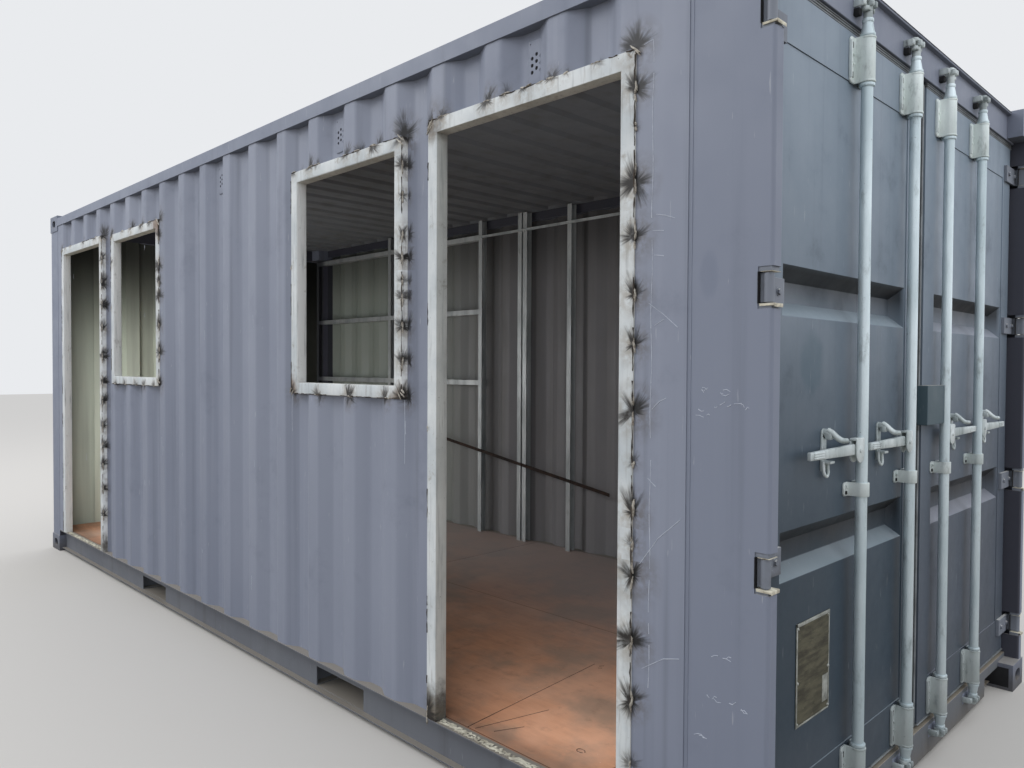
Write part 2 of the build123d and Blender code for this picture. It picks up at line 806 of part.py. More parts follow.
save("bottom_side_rails", bottom_rail(), across(bottom_rail()))

# Floor frame, floor and roof
beside = pocket_width / 2 + cross_flange / 2
save("cross_members_far_end", *cross_group(-cross_end_x, -pocket_centre_x - beside, 6))
save("cross_members_middle", *cross_group(-pocket_centre_x + beside, pocket_centre_x - beside, 7))
save("cross_members_door_end", *cross_group(pocket_centre_x + beside, cross_end_x, 6))
save("fork_pocket_plates", *fork_pocket(-pocket_centre_x), *fork_pocket(pocket_centre_x))
floor_y = side_y - bottom_rail_flange - bottom_rail_wall
boards = block(far_x1, frame_back_x, -floor_y, floor_y, floor_z - floor_thickness, floor_z)
for side in (-1, 1):
    corner_y = sorted((side * far_wide_y, side * side_y))
    boards -= block(far_x1, far_x0 + far_post_length, corner_y[0], corner_y[1], floor_z - floor_thickness, floor_z)
save("floor_boards", boards)
save("roof_sheet", roof())

# Walls
wall_start_x = -end_x + casting_length
wall_top_z = rail_top_z - top_rail_size
save("back_wall", across(side_sheet(wall_start_x, wall_end_x, floor_z, wall_top_z)))
save("far_end_wall", end_wall())
doorway_half = doorway_width / 2
window_half = window_width / 2
top_strip = side_sheet(wall_start_x, wall_end_x, window_top_z, wall_top_z)
for centre in (far_doorway_x, near_doorway_x):
    top_strip -= block(centre - doorway_half, centre + doorway_half, -side_y, -wall_face_y + 2 * wall_depth,
                       window_top_z, doorway_top_z)
save("front_wall_top", top_strip)
save("front_wall_far_strip", side_sheet(wall_start_x, far_doorway_x - doorway_half, floor_z, window_top_z))
save("front_wall_far_pier", side_sheet(far_doorway_x + doorway_half, far_window_x - window_half,
                                       floor_z, window_top_z))
save("front_wall_below_far_window", side_sheet(far_window_x - window_half, far_window_x + window_half,
                                               floor_z, window_bottom_z))
save("front_wall_middle", side_sheet(far_window_x + window_half, near_window_x - window_half,
                                     floor_z, window_top_z))
save("front_wall_below_near_window", side_sheet(near_window_x - window_half, near_window_x + window_half,
                                                floor_z, window_bottom_z))
save("front_wall_near_pier", side_sheet(near_window_x + window_half, near_doorway_x - doorway_half,
                                        floor_z, window_top_z))
save("front_wall_near_strip", side_sheet(near_doorway_x + doorway_half, wall_end_x, floor_z, window_top_z))
save("far_doorway_frame", tube_frame(far_doorway_x, doorway_width, floor_z, doorway_top_z, False))
save("near_doorway_frame", tube_frame(near_doorway_x, doorway_width, floor_z, doorway_top_z, False))
save("far_window_frame", tube_frame(far_window_x, window_width, window_bottom_z, window_top_z, True))
save("near_window_frame", tube_frame(near_window_x, window_width, window_bottom_z, window_top_z, True))
save("ventilators", *[ventilator(trough) for trough in vent_troughs])

# Framing inside the back wall
stud_xs = [corner_stud_x, bay_stud_x] + [first_stud_x + i * stud_pitch for i in range(stud_count)]
pair_x = first_stud_x + double_stud * stud_pitch
studs = [stud(corner_stud_x, floor_z, height - casting_height)]
studs += [stud(x, floor_z, rail_top_z) for x in stud_xs if x not in (corner_stud_x, pair_x)]
pair_offset = (stud_width + double_gap) / 2
studs += [stud(pair_x + side * pair_offset, floor_z, rail_top_z) for side in (-1, 1)]
save("wall_studs", *studs)
bays = [(corner_stud_x, bay_stud_x), (bay_stud_x, first_stud_x)]
noggins = [rail_between(a + stud_width / 2, b - stud_width / 2, level, noggin_height)
           for a, b in bays for level in noggin_levels + (top_track_z,)]
save("stud_rails", *noggins)
save("wall_brace", wall_brace())

# Hinges, keepers and doors
save("door_hinge_pins", *[pin for level in hinge_levels for pin in (hinge_pin(level), across(hinge_pin(level)))])
rod_ys = (-outer_rod_y, -inner_rod_y, inner_rod_y, outer_rod_y)
save("lock_keepers", *[keeper(y, level) for y in rod_ys for level in cam_levels])
leaf = door_leaf()
save("left_door_leaf", leaf)
save("right_door_leaf", across(leaf))
save("left_door_seal", door_seal(-leaf_meeting_y, -leaf_meeting_y))
save("right_door_seal", across(door_seal(leaf_meeting_y - meeting_gap, -leaf_meeting_y)))
blades = [hinge_blade(level) for level in hinge_levels]
save("left_hinge_blades", *blades)
save("right_hinge_blades", *[across(blade) for blade in blades])


front_rods = (-outer_rod_y, -inner_rod_y)
brackets = [rod_bearing(y, level, bracket_height, leaf_face_x) for y in front_rods for level in bracket_levels]
stile = block(panel_x, leaf_face_x, -leaf_meeting_y - stile_width, -leaf_meeting_y, leaf_bottom_z, leaf_top_z)
brackets += [rod_bearing(y, guide_level, guide_height, panel_x) - stile for y in front_rods]
save("left_rod_brackets", *brackets)
save("right_rod_brackets", *[across(bracket) for bracket in brackets])
save("left_handle_catches", *[handle_catch(y - catch_offset) for y in (-outer_rod_y, -inner_rod_y)])
save("right_handle_catches", *[handle_catch(y + catch_offset) for y in (inner_rod_y, outer_rod_y)])
save("left_outer_lock_rod", lock_rod(-outer_rod_y, -1))
save("left_inner_lock_rod", lock_rod(-inner_rod_y, -1))
save("right_inner_lock_rod", lock_rod(inner_rod_y, 1))
save("right_outer_lock_rod", lock_rod(outer_rod_y, 1))
box_y = -leaf_meeting_y + meeting_gap
lock_box = block(leaf_face_x, leaf_face_x + lock_box_depth, box_y, box_y + lock_box_width,
                 lock_box_bottom_z, lock_box_bottom_z + lock_box_height)
lock_box -= block(leaf_face_x, leaf_face_x + lock_box_depth - leaf_wall, box_y + leaf_wall,
                  box_y + lock_box_width - leaf_wall, lock_box_bottom_z,
                  lock_box_bottom_z + lock_box_height - leaf_wall)
save("lock_box", lock_box)
save("data_plate", block(panel_x, panel_x + plate_thickness, plate_centre_y - plate_width / 2,
                         plate_centre_y + plate_width / 2, plate_centre_z - plate_height / 2,
                         plate_centre_z + plate_height / 2))
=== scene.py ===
import contextlib
import json
import math
import random

import bmesh
import bpy
from mathutils import Matrix, Vector


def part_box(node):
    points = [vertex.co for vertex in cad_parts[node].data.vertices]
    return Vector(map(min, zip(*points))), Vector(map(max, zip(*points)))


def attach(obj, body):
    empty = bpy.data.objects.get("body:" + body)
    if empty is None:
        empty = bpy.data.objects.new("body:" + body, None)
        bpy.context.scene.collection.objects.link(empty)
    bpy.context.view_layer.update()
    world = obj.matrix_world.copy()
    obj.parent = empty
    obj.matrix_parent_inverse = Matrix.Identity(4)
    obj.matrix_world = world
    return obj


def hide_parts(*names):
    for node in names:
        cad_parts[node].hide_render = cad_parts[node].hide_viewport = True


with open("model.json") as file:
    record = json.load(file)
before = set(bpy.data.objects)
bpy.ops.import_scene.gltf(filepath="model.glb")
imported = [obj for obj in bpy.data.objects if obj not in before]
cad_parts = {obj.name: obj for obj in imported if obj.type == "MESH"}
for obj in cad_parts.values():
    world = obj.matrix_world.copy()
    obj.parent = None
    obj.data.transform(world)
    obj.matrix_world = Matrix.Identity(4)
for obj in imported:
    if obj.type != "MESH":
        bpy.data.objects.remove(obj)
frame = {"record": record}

bl_info = {
    "name": "Container cabin",
    "version": (1, 0, 0),
    "blender": (4, 5, 0),
    "location": "3D View > Sidebar > Cabin",
    "description": "Dresses a steel container cabin: paint, welds, lock gear, studs and floor",
    "category": "Object",
}

SLOTS = {part["node"]: part["material_slot"] for part in frame["record"]["subparts"]}
BODIES = {node: body for body, nodes in frame["record"]["behaviour"]["bodies"].items() for node in nodes}

# Weld marks in the front wall: x and z in mm, reach of the soot in mm
NEAR_DOORWAY_MARKS = [
    (2616, 2328, 75), (2616, 2212, 62), (2616, 2108, 22), (2616, 1954, 78), (2616, 1805, 74), (2616, 1645, 64),
    (2616, 1506, 60), (2616, 1320, 82), (2616, 1180, 34), (2616, 1040, 66), (2616, 947, 44), (2616, 862, 90),
    (2616, 678, 78), (2616, 507, 62), (2616, 330, 40), (1704, 2318, 85), (1779, 2322, 56), (2011, 2322, 58),
    (2094, 2322, 44), (2180, 2322, 60), (2255, 2322, 34), (2298, 2322, 46), (2361, 2322, 30), (2474, 2322, 34),
    (1704, 185, 92), (1702, 1220, 18),
]
NEAR_WINDOW_MARKS = [
    (1550, 2308, 90), (1550, 2192, 56), (1550, 2078, 46), (1550, 1937, 56), (1550, 1849, 62), (1550, 1760, 44),
    (1550, 1702, 52), (1550, 1593, 64), (1550, 1461, 58), (1550, 1325, 64), (746, 2302, 44), (883, 2302, 56),
    (943, 2302, 34), (1167, 2302, 50), (1251, 2302, 46), (1352, 2302, 66), (726, 1320, 62), (953, 1320, 48),
    (1189, 1320, 62), (1440, 1320, 55), (727, 1885, 26),
]
FAR_DOORWAY_MARKS = [
    (-1829, 2318, 86), (-1829, 2167, 68), (-1829, 2002, 78), (-1829, 1856, 78), (-1829, 1690, 70), (-1829, 1506, 75),
    (-1829, 1332, 78), (-1829, 1194, 75), (-1829, 1027, 73), (-1829, 888, 68), (-1829, 767, 62), (-1829, 600, 65),
    (-1829, 420, 60), (-2740, 2318, 50), (-2650, 2322, 44), (-2526, 2322, 42), (-2236, 2322, 50), (-1967, 2322, 56),
    (-2740, 1990, 34), (-2740, 1500, 24),
]
FAR_WINDOW_MARKS = [
    (-820, 2300, 70), (-820, 2205, 55), (-820, 2030, 72), (-820, 1934, 55), (-820, 1854, 65), (-820, 1677, 70),
    (-820, 1516, 75), (-820, 1330, 68), (-1640, 2298, 62), (-1429, 2302, 44), (-1282, 2302, 60), (-1095, 2302, 56),
    (-961, 2302, 50), (-1573, 1320, 44), (-1395, 1320, 48), (-1202, 1320, 52), (-1064, 1320, 46), (-900, 1320, 44),
    (-1641, 2120, 56), (-1641, 1813, 30),
]
ALL_MARKS = NEAR_DOORWAY_MARKS + NEAR_WINDOW_MARKS + FAR_DOORWAY_MARKS + FAR_WINDOW_MARKS
BACK_WALL_MARKS = [(712, 598, 62)]
# Two marks in one row have a cut between them if they are nearer than this; the soot ends at its reach and a margin
ROW_GAP = 420
SOOT_MARGIN = 14

# The front wall, in mm: its face, the lines drawn on its crests and on the post, its first trough and its pitch
WALL_FACE = -1215.5
LINE_Y = -1214.2
POST_LINE_Y = -1215.2
FIRST_TROUGH = -2790.8
PITCH = 281.7
VENT_XS = (2203.6, 1076.8, -50.0)
VENT_HALF = 35
# The door end, in mm: heights, the rods' places, the rods' collars and the bolts' washers
HINGE_LEVELS = (275, 940, 1640, 2318)
ROD_X = 2994.0
ROD_YS = (-586, -178, 178, 586)
HANDLE_LEVEL = 1206.0
COLLAR = 22
KEEPER_LEVELS = (100, 2520)
BRACKET_LEVELS = (233, 2360)
SEAL_FOOT, SEAL_TOP = 150, 2450
WASHER = 1.6


def mm(*values):
    """Metres from millimetres."""
    return Vector([v / 1000 for v in values])


def node_box(node):
    """A node's low and high corners in millimetres."""
    low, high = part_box(node)
    return [v * 1000 for v in low], [v * 1000 for v in high]


# Modelling


def alone(piece=None):
    """Select only this piece, or nothing."""
    bpy.ops.object.select_all(action="DESELECT")
    if piece is not None:
        piece.select_set(True)
        bpy.context.view_layer.objects.active = piece


@contextlib.contextmanager
def editing(piece):
    """Edit mode with the whole piece selected."""
    alone(piece)
    bpy.ops.object.mode_set(mode="EDIT")
    bpy.ops.mesh.select_all(action="SELECT")
    yield
    bpy.ops.object.mode_set(mode="OBJECT")


def settle(piece):
    """Put the piece's place into its mesh."""
    alone(piece)
    bpy.ops.object.transform_apply(location=True, rotation=True, scale=True)
    return piece


def modify(piece, kind, **settings):
    """Run one modifier on the piece."""
    alone(piece)
    modifier = piece.modifiers.new(kind.lower(), kind)
    for key, value in settings.items():
        setattr(modifier, key, value)
    bpy.ops.object.modifier_apply(modifier=modifier.name)
    return piece


def soften(piece, width):
    """Round every edge."""
    with editing(piece):
        bpy.ops.mesh.bevel(offset=width / 1000, segments=2, affect="EDGES")
    return piece


def slab(x0, x1, y0, y1, z0, z1, edge=0.0):
    """A block between two corners in millimetres, the two Y values in either order."""
    y0, y1 = sorted((y0, y1))
    alone()
    bpy.ops.mesh.primitive_cube_add(size=1, location=mm(x0 + x1, y0 + y1, z0 + z1) / 2,
                                    scale=mm(x1 - x0, y1 - y0, z1 - z0))
    piece = settle(bpy.context.object)
    return soften(piece, edge) if edge else piece


def bar(start, end, radius, radius_end=None, sides=24, edge=0.0):
    """A round bar or cone between two points in millimetres."""
    alone()
    along = Vector(end) - Vector(start)
    bpy.ops.mesh.primitive_cone_add(
        vertices=sides, radius1=radius / 1000, radius2=(radius if radius_end is None else radius_end) / 1000,
        depth=along.length / 1000, location=(Vector(start) + Vector(end)) / 2000,
        rotation=along.to_track_quat("Z", "Y").to_euler())
    piece = settle(bpy.context.object)
    if edge:
        with editing(piece):
            bpy.ops.mesh.select_all(action="DESELECT")
            shape = bmesh.from_edit_mesh(piece.data)
            for face in shape.faces:
                face.select = len(face.verts) > 4
            bmesh.update_edit_mesh(piece.data)
            bpy.ops.mesh.bevel(offset=edge / 1000, segments=2, affect="EDGES")
    return piece


def line_mesh(lines, radius, kind, resolution, seed=0, vary=0.0):
    """Round lines through points in millimetres, each point's width off by up to vary."""
    chance = random.Random(seed)
    curve = bpy.data.curves.new("line", "CURVE")
    curve.dimensions = "3D"
    curve.bevel_depth = radius / 1000
    curve.bevel_resolution = resolution
    curve.use_fill_caps = True
    for points in lines:
        spline = curve.splines.new(kind)
        spline.points.add(len(points) - 1)
        for point, place in zip(spline.points, points):
            point.co = (*mm(*place), 1)
            point.radius = chance.uniform(1 - vary, 1 + vary)
        spline.order_u = 3
        spline.use_endpoint_u = True
    piece = bpy.data.objects.new("line", curve)
    bpy.context.collection.objects.link(piece)
    alone(piece)
    bpy.ops.object.convert(target="MESH")
    return bpy.context.object


def rod_bend(points, radius):
    """A bent round rod."""
    return line_mesh([points], radius, "NURBS", 4)


def strokes(lines, half, seed=0, vary=0.4):
    """Drawn, scribed or burnt lines, uneven in width."""
    return line_mesh(lines, half, "POLY", 1, seed, vary)


def reshape(piece, chosen, change):
    """Change the points that pass the test."""
    with editing(piece):
        bpy.ops.mesh.select_mode(type="VERT")
        bpy.ops.mesh.select_all(action="DESELECT")
        shape = bmesh.from_edit_mesh(piece.data)
        for point in shape.verts:
            point.select_set(chosen(point.co))
        shape.select_flush(True)
        bmesh.update_edit_mesh(piece.data)
        change()


def join(pieces):
    """Make one piece of several."""
    alone()
    for piece in pieces:
        piece.select_set(True)
    bpy.context.view_layer.objects.active = pieces[0]
    bpy.ops.object.join()
    return bpy.context.object


def bolt(x, y, z, radius, depth):
    """A hexagon head on its washer, facing +X, its back at the given point."""
    place = Vector((x, y, z))
    out = Vector((1, 0, 0))
    washer = bar(place, place + out * WASHER, radius * 1.35, sides=16)
    head = bar(place + out * 1.4, place + out * (WASHER + depth), radius, radius * 0.94, sides=6, edge=0.8)
    return join([washer, head])


def coated(piece, finish):
    """Give the piece one finish."""
    piece.data.materials.clear()
    piece.data.materials.append(finish_for(finish))


def dress(piece, name, finish, node, smooth=35):
    """Finish a piece that rides with a CAD node."""
    settle(piece)
    bpy.ops.object.shade_smooth_by_angle(angle=math.radians(smooth))
    piece.name = name
    piece.data.name = name
    coated(piece, finish)
    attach(piece, BODIES[node])
    return piece


def merged_copy(node):
    """A copy of a CAD node with its loose triangles joined into clean faces."""
    piece = bpy.data.objects.new(node + "_dressed", bpy.data.objects[node].data.copy())
    bpy.context.collection.objects.link(piece)
    with editing(piece):
        bpy.ops.mesh.remove_doubles(threshold=0.00002)
        bpy.ops.mesh.dissolve_limited(angle_limit=math.radians(0.6))
    return piece


def level_faces(piece):
    """Let broad faces shade flat right up to their rounded edges."""
    modify(piece, "WEIGHTED_NORMAL", keep_sharp=True)


def rounded_copy(node, width, finish, angle=30, segments=2):
    """A copy of a CAD node with its edges rounded as rolled or cast steel has them."""
    piece = modify(merged_copy(node), "BEVEL", width=width / 1000, segments=segments, limit_method="ANGLE",
                   angle_limit=math.radians(angle))
    dress(piece, node + "_dressed", finish, node)
    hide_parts(node)
    return piece


def bent_sheet(node, width, finish):
    """A copy of a corrugated sheet with rounded bends."""
    piece = merged_copy(node)
    shape = bmesh.new()
    shape.from_mesh(piece.data)
    weight = shape.edges.layers.float.new("bevel_weight_edge")
    for edge in shape.edges:
        if len(edge.link_faces) == 2 and 8 < math.degrees(edge.calc_face_angle(0)) < 60:
            edge[weight] = 1.0
    shape.to_mesh(piece.data)
    shape.free()
    modify(piece, "BEVEL", width=width / 1000, segments=4, limit_method="WEIGHT", use_clamp_overlap=False)
    dress(piece, node + "_dressed", finish, node, smooth=25)
    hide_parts(node)
    return piece


def divide(piece, marks):
    """Cut the piece half way between neighbouring weld marks and give each face its mark."""
    low = [min(v.co[i] for v in piece.data.vertices) * 1000 for i in (0, 2)]
    high = [max(v.co[i] for v in piece.data.vertices) * 1000 for i in (0, 2)]
    near = [m for m in marks if low[0] - m[2] < m[0] < high[0] + m[2] and low[1] - m[2] < m[1] < high[1] + m[2]]
    cuts = set()
    for i, first in enumerate(near):
        for across, axis in ((0, 0), (1, 2)):
            for second in near[i + 1:]:
                if first[1 - across] == second[1 - across] and abs(first[across] - second[across]) < ROW_GAP:
                    cuts.add((axis, round((first[across] + second[across]) / 2)))
            cuts.add((axis, first[across] + first[2] + SOOT_MARGIN))
            cuts.add((axis, first[across] - first[2] - SOOT_MARGIN))
    with editing(piece):
        for axis, at in sorted(cuts):
            bpy.ops.mesh.select_all(action="SELECT")
            facing = [int(i == axis) for i in range(3)]
            bpy.ops.mesh.bisect(plane_co=[at / 1000 * i for i in facing], plane_no=facing)
    reach_map = piece.data.uv_layers.new(name="scorch")
    kind_map = piece.data.uv_layers.new(name="scorch_kind")
    for face in piece.data.polygons:
        x, z = face.center.x * 1000, face.center.z * 1000
        mark = min(near, key=lambda m: math.hypot(x - m[0], z - m[1]) / m[2], default=None)
        for loop in face.loop_indices:
            if mark is None:
                reach_map.data[loop].uv = (9, 9)
                kind_map.data[loop].uv = (0, 0)
                continue
            corner = piece.data.vertices[piece.data.loops[loop].vertex_index].co
            aside = corner.x * 1000 - mark[0]
            # Behind the wall's face the soot goes on round the corner
            aside += math.copysign(max(0.0, corner.y * 1000 - WALL_FACE) * 0.9, aside + 1)
            reach_map.data[loop].uv = (aside / mark[2], (corner.z * 1000 - mark[1]) / mark[2])
            kind_map.data[loop].uv = (mark[0] * 0.013 + mark[1] * 0.0071, min(1.0, mark[2] / 60))
    return piece


# Materials


def colour(hex_code):
    """Linear RGBA of an sRGB hex colour."""
    parts = [int(hex_code[i:i + 2], 16) / 255 for i in (1, 3, 5)]
    return [c / 12.92 if c <= 0.04045 else ((c + 0.055) / 1.055) ** 2.4 for c in parts] + [1.0]


def add(tree, kind, inputs=None, **settings):
    """Add a node with its options, values and links; a node among the inputs gives its first output."""
    node = tree.nodes.new(kind)
    for key, value in settings.items():
        setattr(node, key, value)
    for key, value in (inputs or {}).items():
        if isinstance(value, bpy.types.Node):
            value = value.outputs[0]
        if isinstance(value, bpy.types.NodeSocket):
            tree.links.new(value, node.inputs[key])
        else:
            node.inputs[key].default_value = value
    return node


def start_material(name, **shader):
    """A material with its shader, whose inputs take the given values."""
    material = bpy.data.materials.new(name)
    material.use_nodes = True
    tree = material.node_tree
    tree.nodes.clear()
    bsdf = add(tree, "ShaderNodeBsdfPrincipled", shader)
    add(tree, "ShaderNodeOutputMaterial", {"Surface": bsdf})
    return material, tree, bsdf


def pattern(tree, place, size_mm, detail=4.0, rough=0.55, seed=0.0, stretch=(1, 1, 1)):
    """A cloudy pattern whose blobs are about size_mm across; stretch lengthens them along an axis."""
    spot = add(tree, "ShaderNodeMapping", {"Vector": place, "Location": (seed, seed * 1.7, seed * 0.6),
                                           "Scale": [1000 / size_mm / s for s in stretch]})
    return add(tree, "ShaderNodeTexNoise", {"Vector": spot, "Scale": 1.0, "Detail": detail,
                                            "Roughness": rough}).outputs["Fac"]


def coat(tree, under, over, share, low=0.0, high=1.0, most=1.0, least=0.0, mode="MIX"):
    """Lay one colour over another where a pattern runs from low to high."""
    curve = "LINEAR" if (low, high) == (0.0, 1.0) else "SMOOTHSTEP"
    part = add(tree, "ShaderNodeMapRange", {"Value": share, "From Min": low, "From Max": high, "To Min": least,
                                            "To Max": most}, interpolation_type=curve)
    tones = [colour(tone) if isinstance(tone, str) else tone for tone in (under, over)]
    return add(tree, "ShaderNodeMix", {0: part, 6: tones[0], 7: tones[1]}, data_type="RGBA",
               blend_type=mode).outputs[2]


def surface(tree, bsdf, tone, height, strength, distance_mm):
    """Give the shader its colour and a fine relief."""
    tree.links.new(tone, bsdf.inputs["Base Color"])
    bump = add(tree, "ShaderNodeBump", {"Height": height, "Strength": strength, "Distance": distance_mm / 1000})
    tree.links.new(bump.outputs[0], bsdf.inputs["Normal"])


def scorch(tree, base, soot="#161514", halo="#5a5248"):
    """Soot thrown out unevenly round each weld mark: a leaning lobe broken into rays, over the base colour."""
    spread = add(tree, "ShaderNodeUVMap", uv_map="scorch")
    kind = add(tree, "ShaderNodeSeparateXYZ", {0: add(tree, "ShaderNodeUVMap", uv_map="scorch_kind")})
    far = add(tree, "ShaderNodeVectorMath", {0: spread}, operation="LENGTH").outputs["Value"]
    aim = add(tree, "ShaderNodeVectorMath", {0: spread}, operation="NORMALIZE")
    slide = add(tree, "ShaderNodeVectorMath", {0: spread, "Scale": 0.35}, operation="SCALE")
    place = add(tree, "ShaderNodeVectorMath", {0: aim, 1: (2.2, 2.2, 2.2), 2: slide}, operation="MULTIPLY_ADD")
    rays = add(tree, "ShaderNodeTexNoise", {"Vector": place, "W": kind.outputs[0], "Scale": 1.9,
                                            "Detail": 3.0, "Roughness": 0.6}, noise_dimensions="4D")
    other = add(tree, "ShaderNodeMath", {0: kind.outputs[0], 1: 7.3}, operation="ADD")
    lobe = add(tree, "ShaderNodeTexNoise", {"Vector": aim, "W": other, "Scale": 0.75, "Detail": 1.0},
               noise_dimensions="4D")
    smoke = add(tree, "ShaderNodeTexNoise", {"Vector": spread, "W": kind.outputs[0], "Scale": 2.6, "Detail": 5.0,
                                             "Roughness": 0.6}, noise_dimensions="4D").outputs["Fac"]
    upward = add(tree, "ShaderNodeSeparateXYZ", {0: aim}).outputs[1]
    lean = add(tree, "ShaderNodeMath", {0: upward, 1: 0.08, 2: lobe.outputs["Fac"]}, operation="MULTIPLY_ADD")
    long = add(tree, "ShaderNodeMapRange", {"Value": rays.outputs["Fac"], "From Min": 0.36, "From Max": 0.64,
                                            "To Min": 0.56, "To Max": 1.2})
    wide = add(tree, "ShaderNodeMapRange", {"Value": lean, "From Min": 0.42, "From Max": 0.62,
                                            "To Min": 0.36, "To Max": 1.2})
    reach = add(tree, "ShaderNodeMath", {0: long, 1: wide}, operation="MULTIPLY")
    share = add(tree, "ShaderNodeMath", {0: far, 1: reach}, operation="DIVIDE")
    core = add(tree, "ShaderNodeMapRange", {"Value": share, "From Min": 0.3, "From Max": 1.0, "To Min": 1.0,
                                            "To Max": 0.0}, interpolation_type="SMOOTHSTEP")
    broken = add(tree, "ShaderNodeMapRange", {"Value": smoke, "From Min": 0.3, "From Max": 0.5, "To Min": 0.7,
                                              "To Max": 1.0})
    dense = add(tree, "ShaderNodeMath", {0: core, 1: broken}, operation="MULTIPLY")
    dark = add(tree, "ShaderNodeMath", {0: dense, 1: kind.outputs[1]}, operation="MULTIPLY")
    faint = add(tree, "ShaderNodeMapRange", {"Value": far, "From Min": 0.1, "From Max": 1.25, "To Min": 0.8,
                                             "To Max": 0.0})
    drift = add(tree, "ShaderNodeMapRange", {"Value": smoke, "From Min": 0.36, "From Max": 0.58})
    cloud = add(tree, "ShaderNodeMath", {0: faint, 1: drift}, operation="MULTIPLY")
    cloud = add(tree, "ShaderNodeMath", {0: cloud, 1: kind.outputs[1]}, operation="MULTIPLY")
    return coat(tree, coat(tree, base, halo, cloud), soot, dark)


def shaded(axis, low, high, tone, most):
    """A tone that grows along an axis between two places, in metres; most uses are painted shade."""
    def lay(tree, paint, place, where, facing):
        return coat(tree, paint, tone, where.outputs[axis], low, high, most)
    return lay


def lined(axis, sign, tone, *shades):
    """The inner side of a wall: dull enamel with long damp stains."""
    def lay(tree, paint, place, where, facing):
        turned = add(tree, "ShaderNodeMath", {0: facing.outputs[axis], 1: sign}, operation="MULTIPLY")
        stain = pattern(tree, place, 110, 4.0, 0.5, seed=30.0, stretch=(1, 1, 14))
        inner = coat(tree, tone, "#5d5b56", stain, 0.4, 0.8, 0.45)
        for shade in shades:
            inner = shade(tree, inner, place, where, facing)
        return coat(tree, paint, inner, turned, 0.1, 0.3)
    return lay


def worn_spot(axis, u, z, wide, high, tone):
    """An oval rubbed through the top coat, in metres."""
    def lay(tree, paint, place, where, facing):
        across = add(tree, "ShaderNodeMath", {0: where.outputs[axis], 1: u}, operation="SUBTRACT")
        upward = add(tree, "ShaderNodeMath", {0: where.outputs[2], 1: z}, operation="SUBTRACT")
        oval = add(tree, "ShaderNodeCombineXYZ", {0: across, 1: upward})
        oval = add(tree, "ShaderNodeVectorMath", {0: oval, 1: (1 / wide, 1 / high, 0)}, operation="MULTIPLY")
        far = add(tree, "ShaderNodeVectorMath", {0: oval}, operation="LENGTH").outputs["Value"]
        ragged = pattern(tree, place, 120, 5.0, 0.6, seed=5.0)
        edge = add(tree, "ShaderNodeMath", {0: ragged, 1: 0.8, 2: far}, operation="MULTIPLY_ADD")
        return coat(tree, paint, tone, edge, 0.95, 1.45, 0.0, 0.5)
    return lay


def press_shadow(tree, paint, place, where, facing):
    """Painted shade under the upper edge of the leaf's two pressings."""
    # The pressings are 713 mm apart, so that one wrapped height serves both
    level = add(tree, "ShaderNodeMath", {0: where.outputs[2], 1: 1.2945, 2: 0.5815}, operation="WRAP")
    upper = add(tree, "ShaderNodeMapRange", {"Value": level, "From Min": 0.875, "From Max": 0.965})
    sunk = add(tree, "ShaderNodeMapRange", {"Value": where.outputs[0], "From Min": 2.946, "From Max": 2.9562,
                                            "To Min": 1.0, "To Max": 0.0})
    outside = add(tree, "ShaderNodeMath", {0: facing.outputs[0], 1: 0.1}, operation="GREATER_THAN")
    share = add(tree, "ShaderNodeMath", {0: upper, 1: sunk}, operation="MULTIPLY")
    share = add(tree, "ShaderNodeMath", {0: share, 1: outside}, operation="MULTIPLY")
    return coat(tree, paint, "#12161b", share, most=0.88)


def inward_shade(tree, paint, place, where, facing):
    """Painted shade: faces that look into the cabin are darkened."""
    sides = []
    for axis, test, limit, toward in ((1, "GREATER_THAN", 0.9, -1), (0, "LESS_THAN", -2.8, 1)):
        there = add(tree, "ShaderNodeMath", {0: where.outputs[axis], 1: limit}, operation=test)
        turned = add(tree, "ShaderNodeMath", {0: facing.outputs[axis], 1: toward}, operation="MULTIPLY")
        sides.append(add(tree, "ShaderNodeMath", {0: there, 1: turned}, operation="MULTIPLY"))
    either = add(tree, "ShaderNodeMath", {0: sides[0], 1: sides[1]}, operation="MAXIMUM")
    return coat(tree, paint, "#3b3c46", either, 0.3, 0.6)


def low_dirt(tone, top, most):
    """Splashed mud and rust, thickest at the ground and gone at the given height in metres."""
    def lay(tree, paint, place, where, facing):
        splash = pattern(tree, place, 55, 6.0, 0.7, seed=41.0)
        rise = add(tree, "ShaderNodeMath", {0: splash, 1: top, 2: where.outputs[2]}, operation="MULTIPLY_ADD")
        return coat(tree, paint, tone, rise, top * 0.35, top * 1.5, 0.0, most)
    return lay


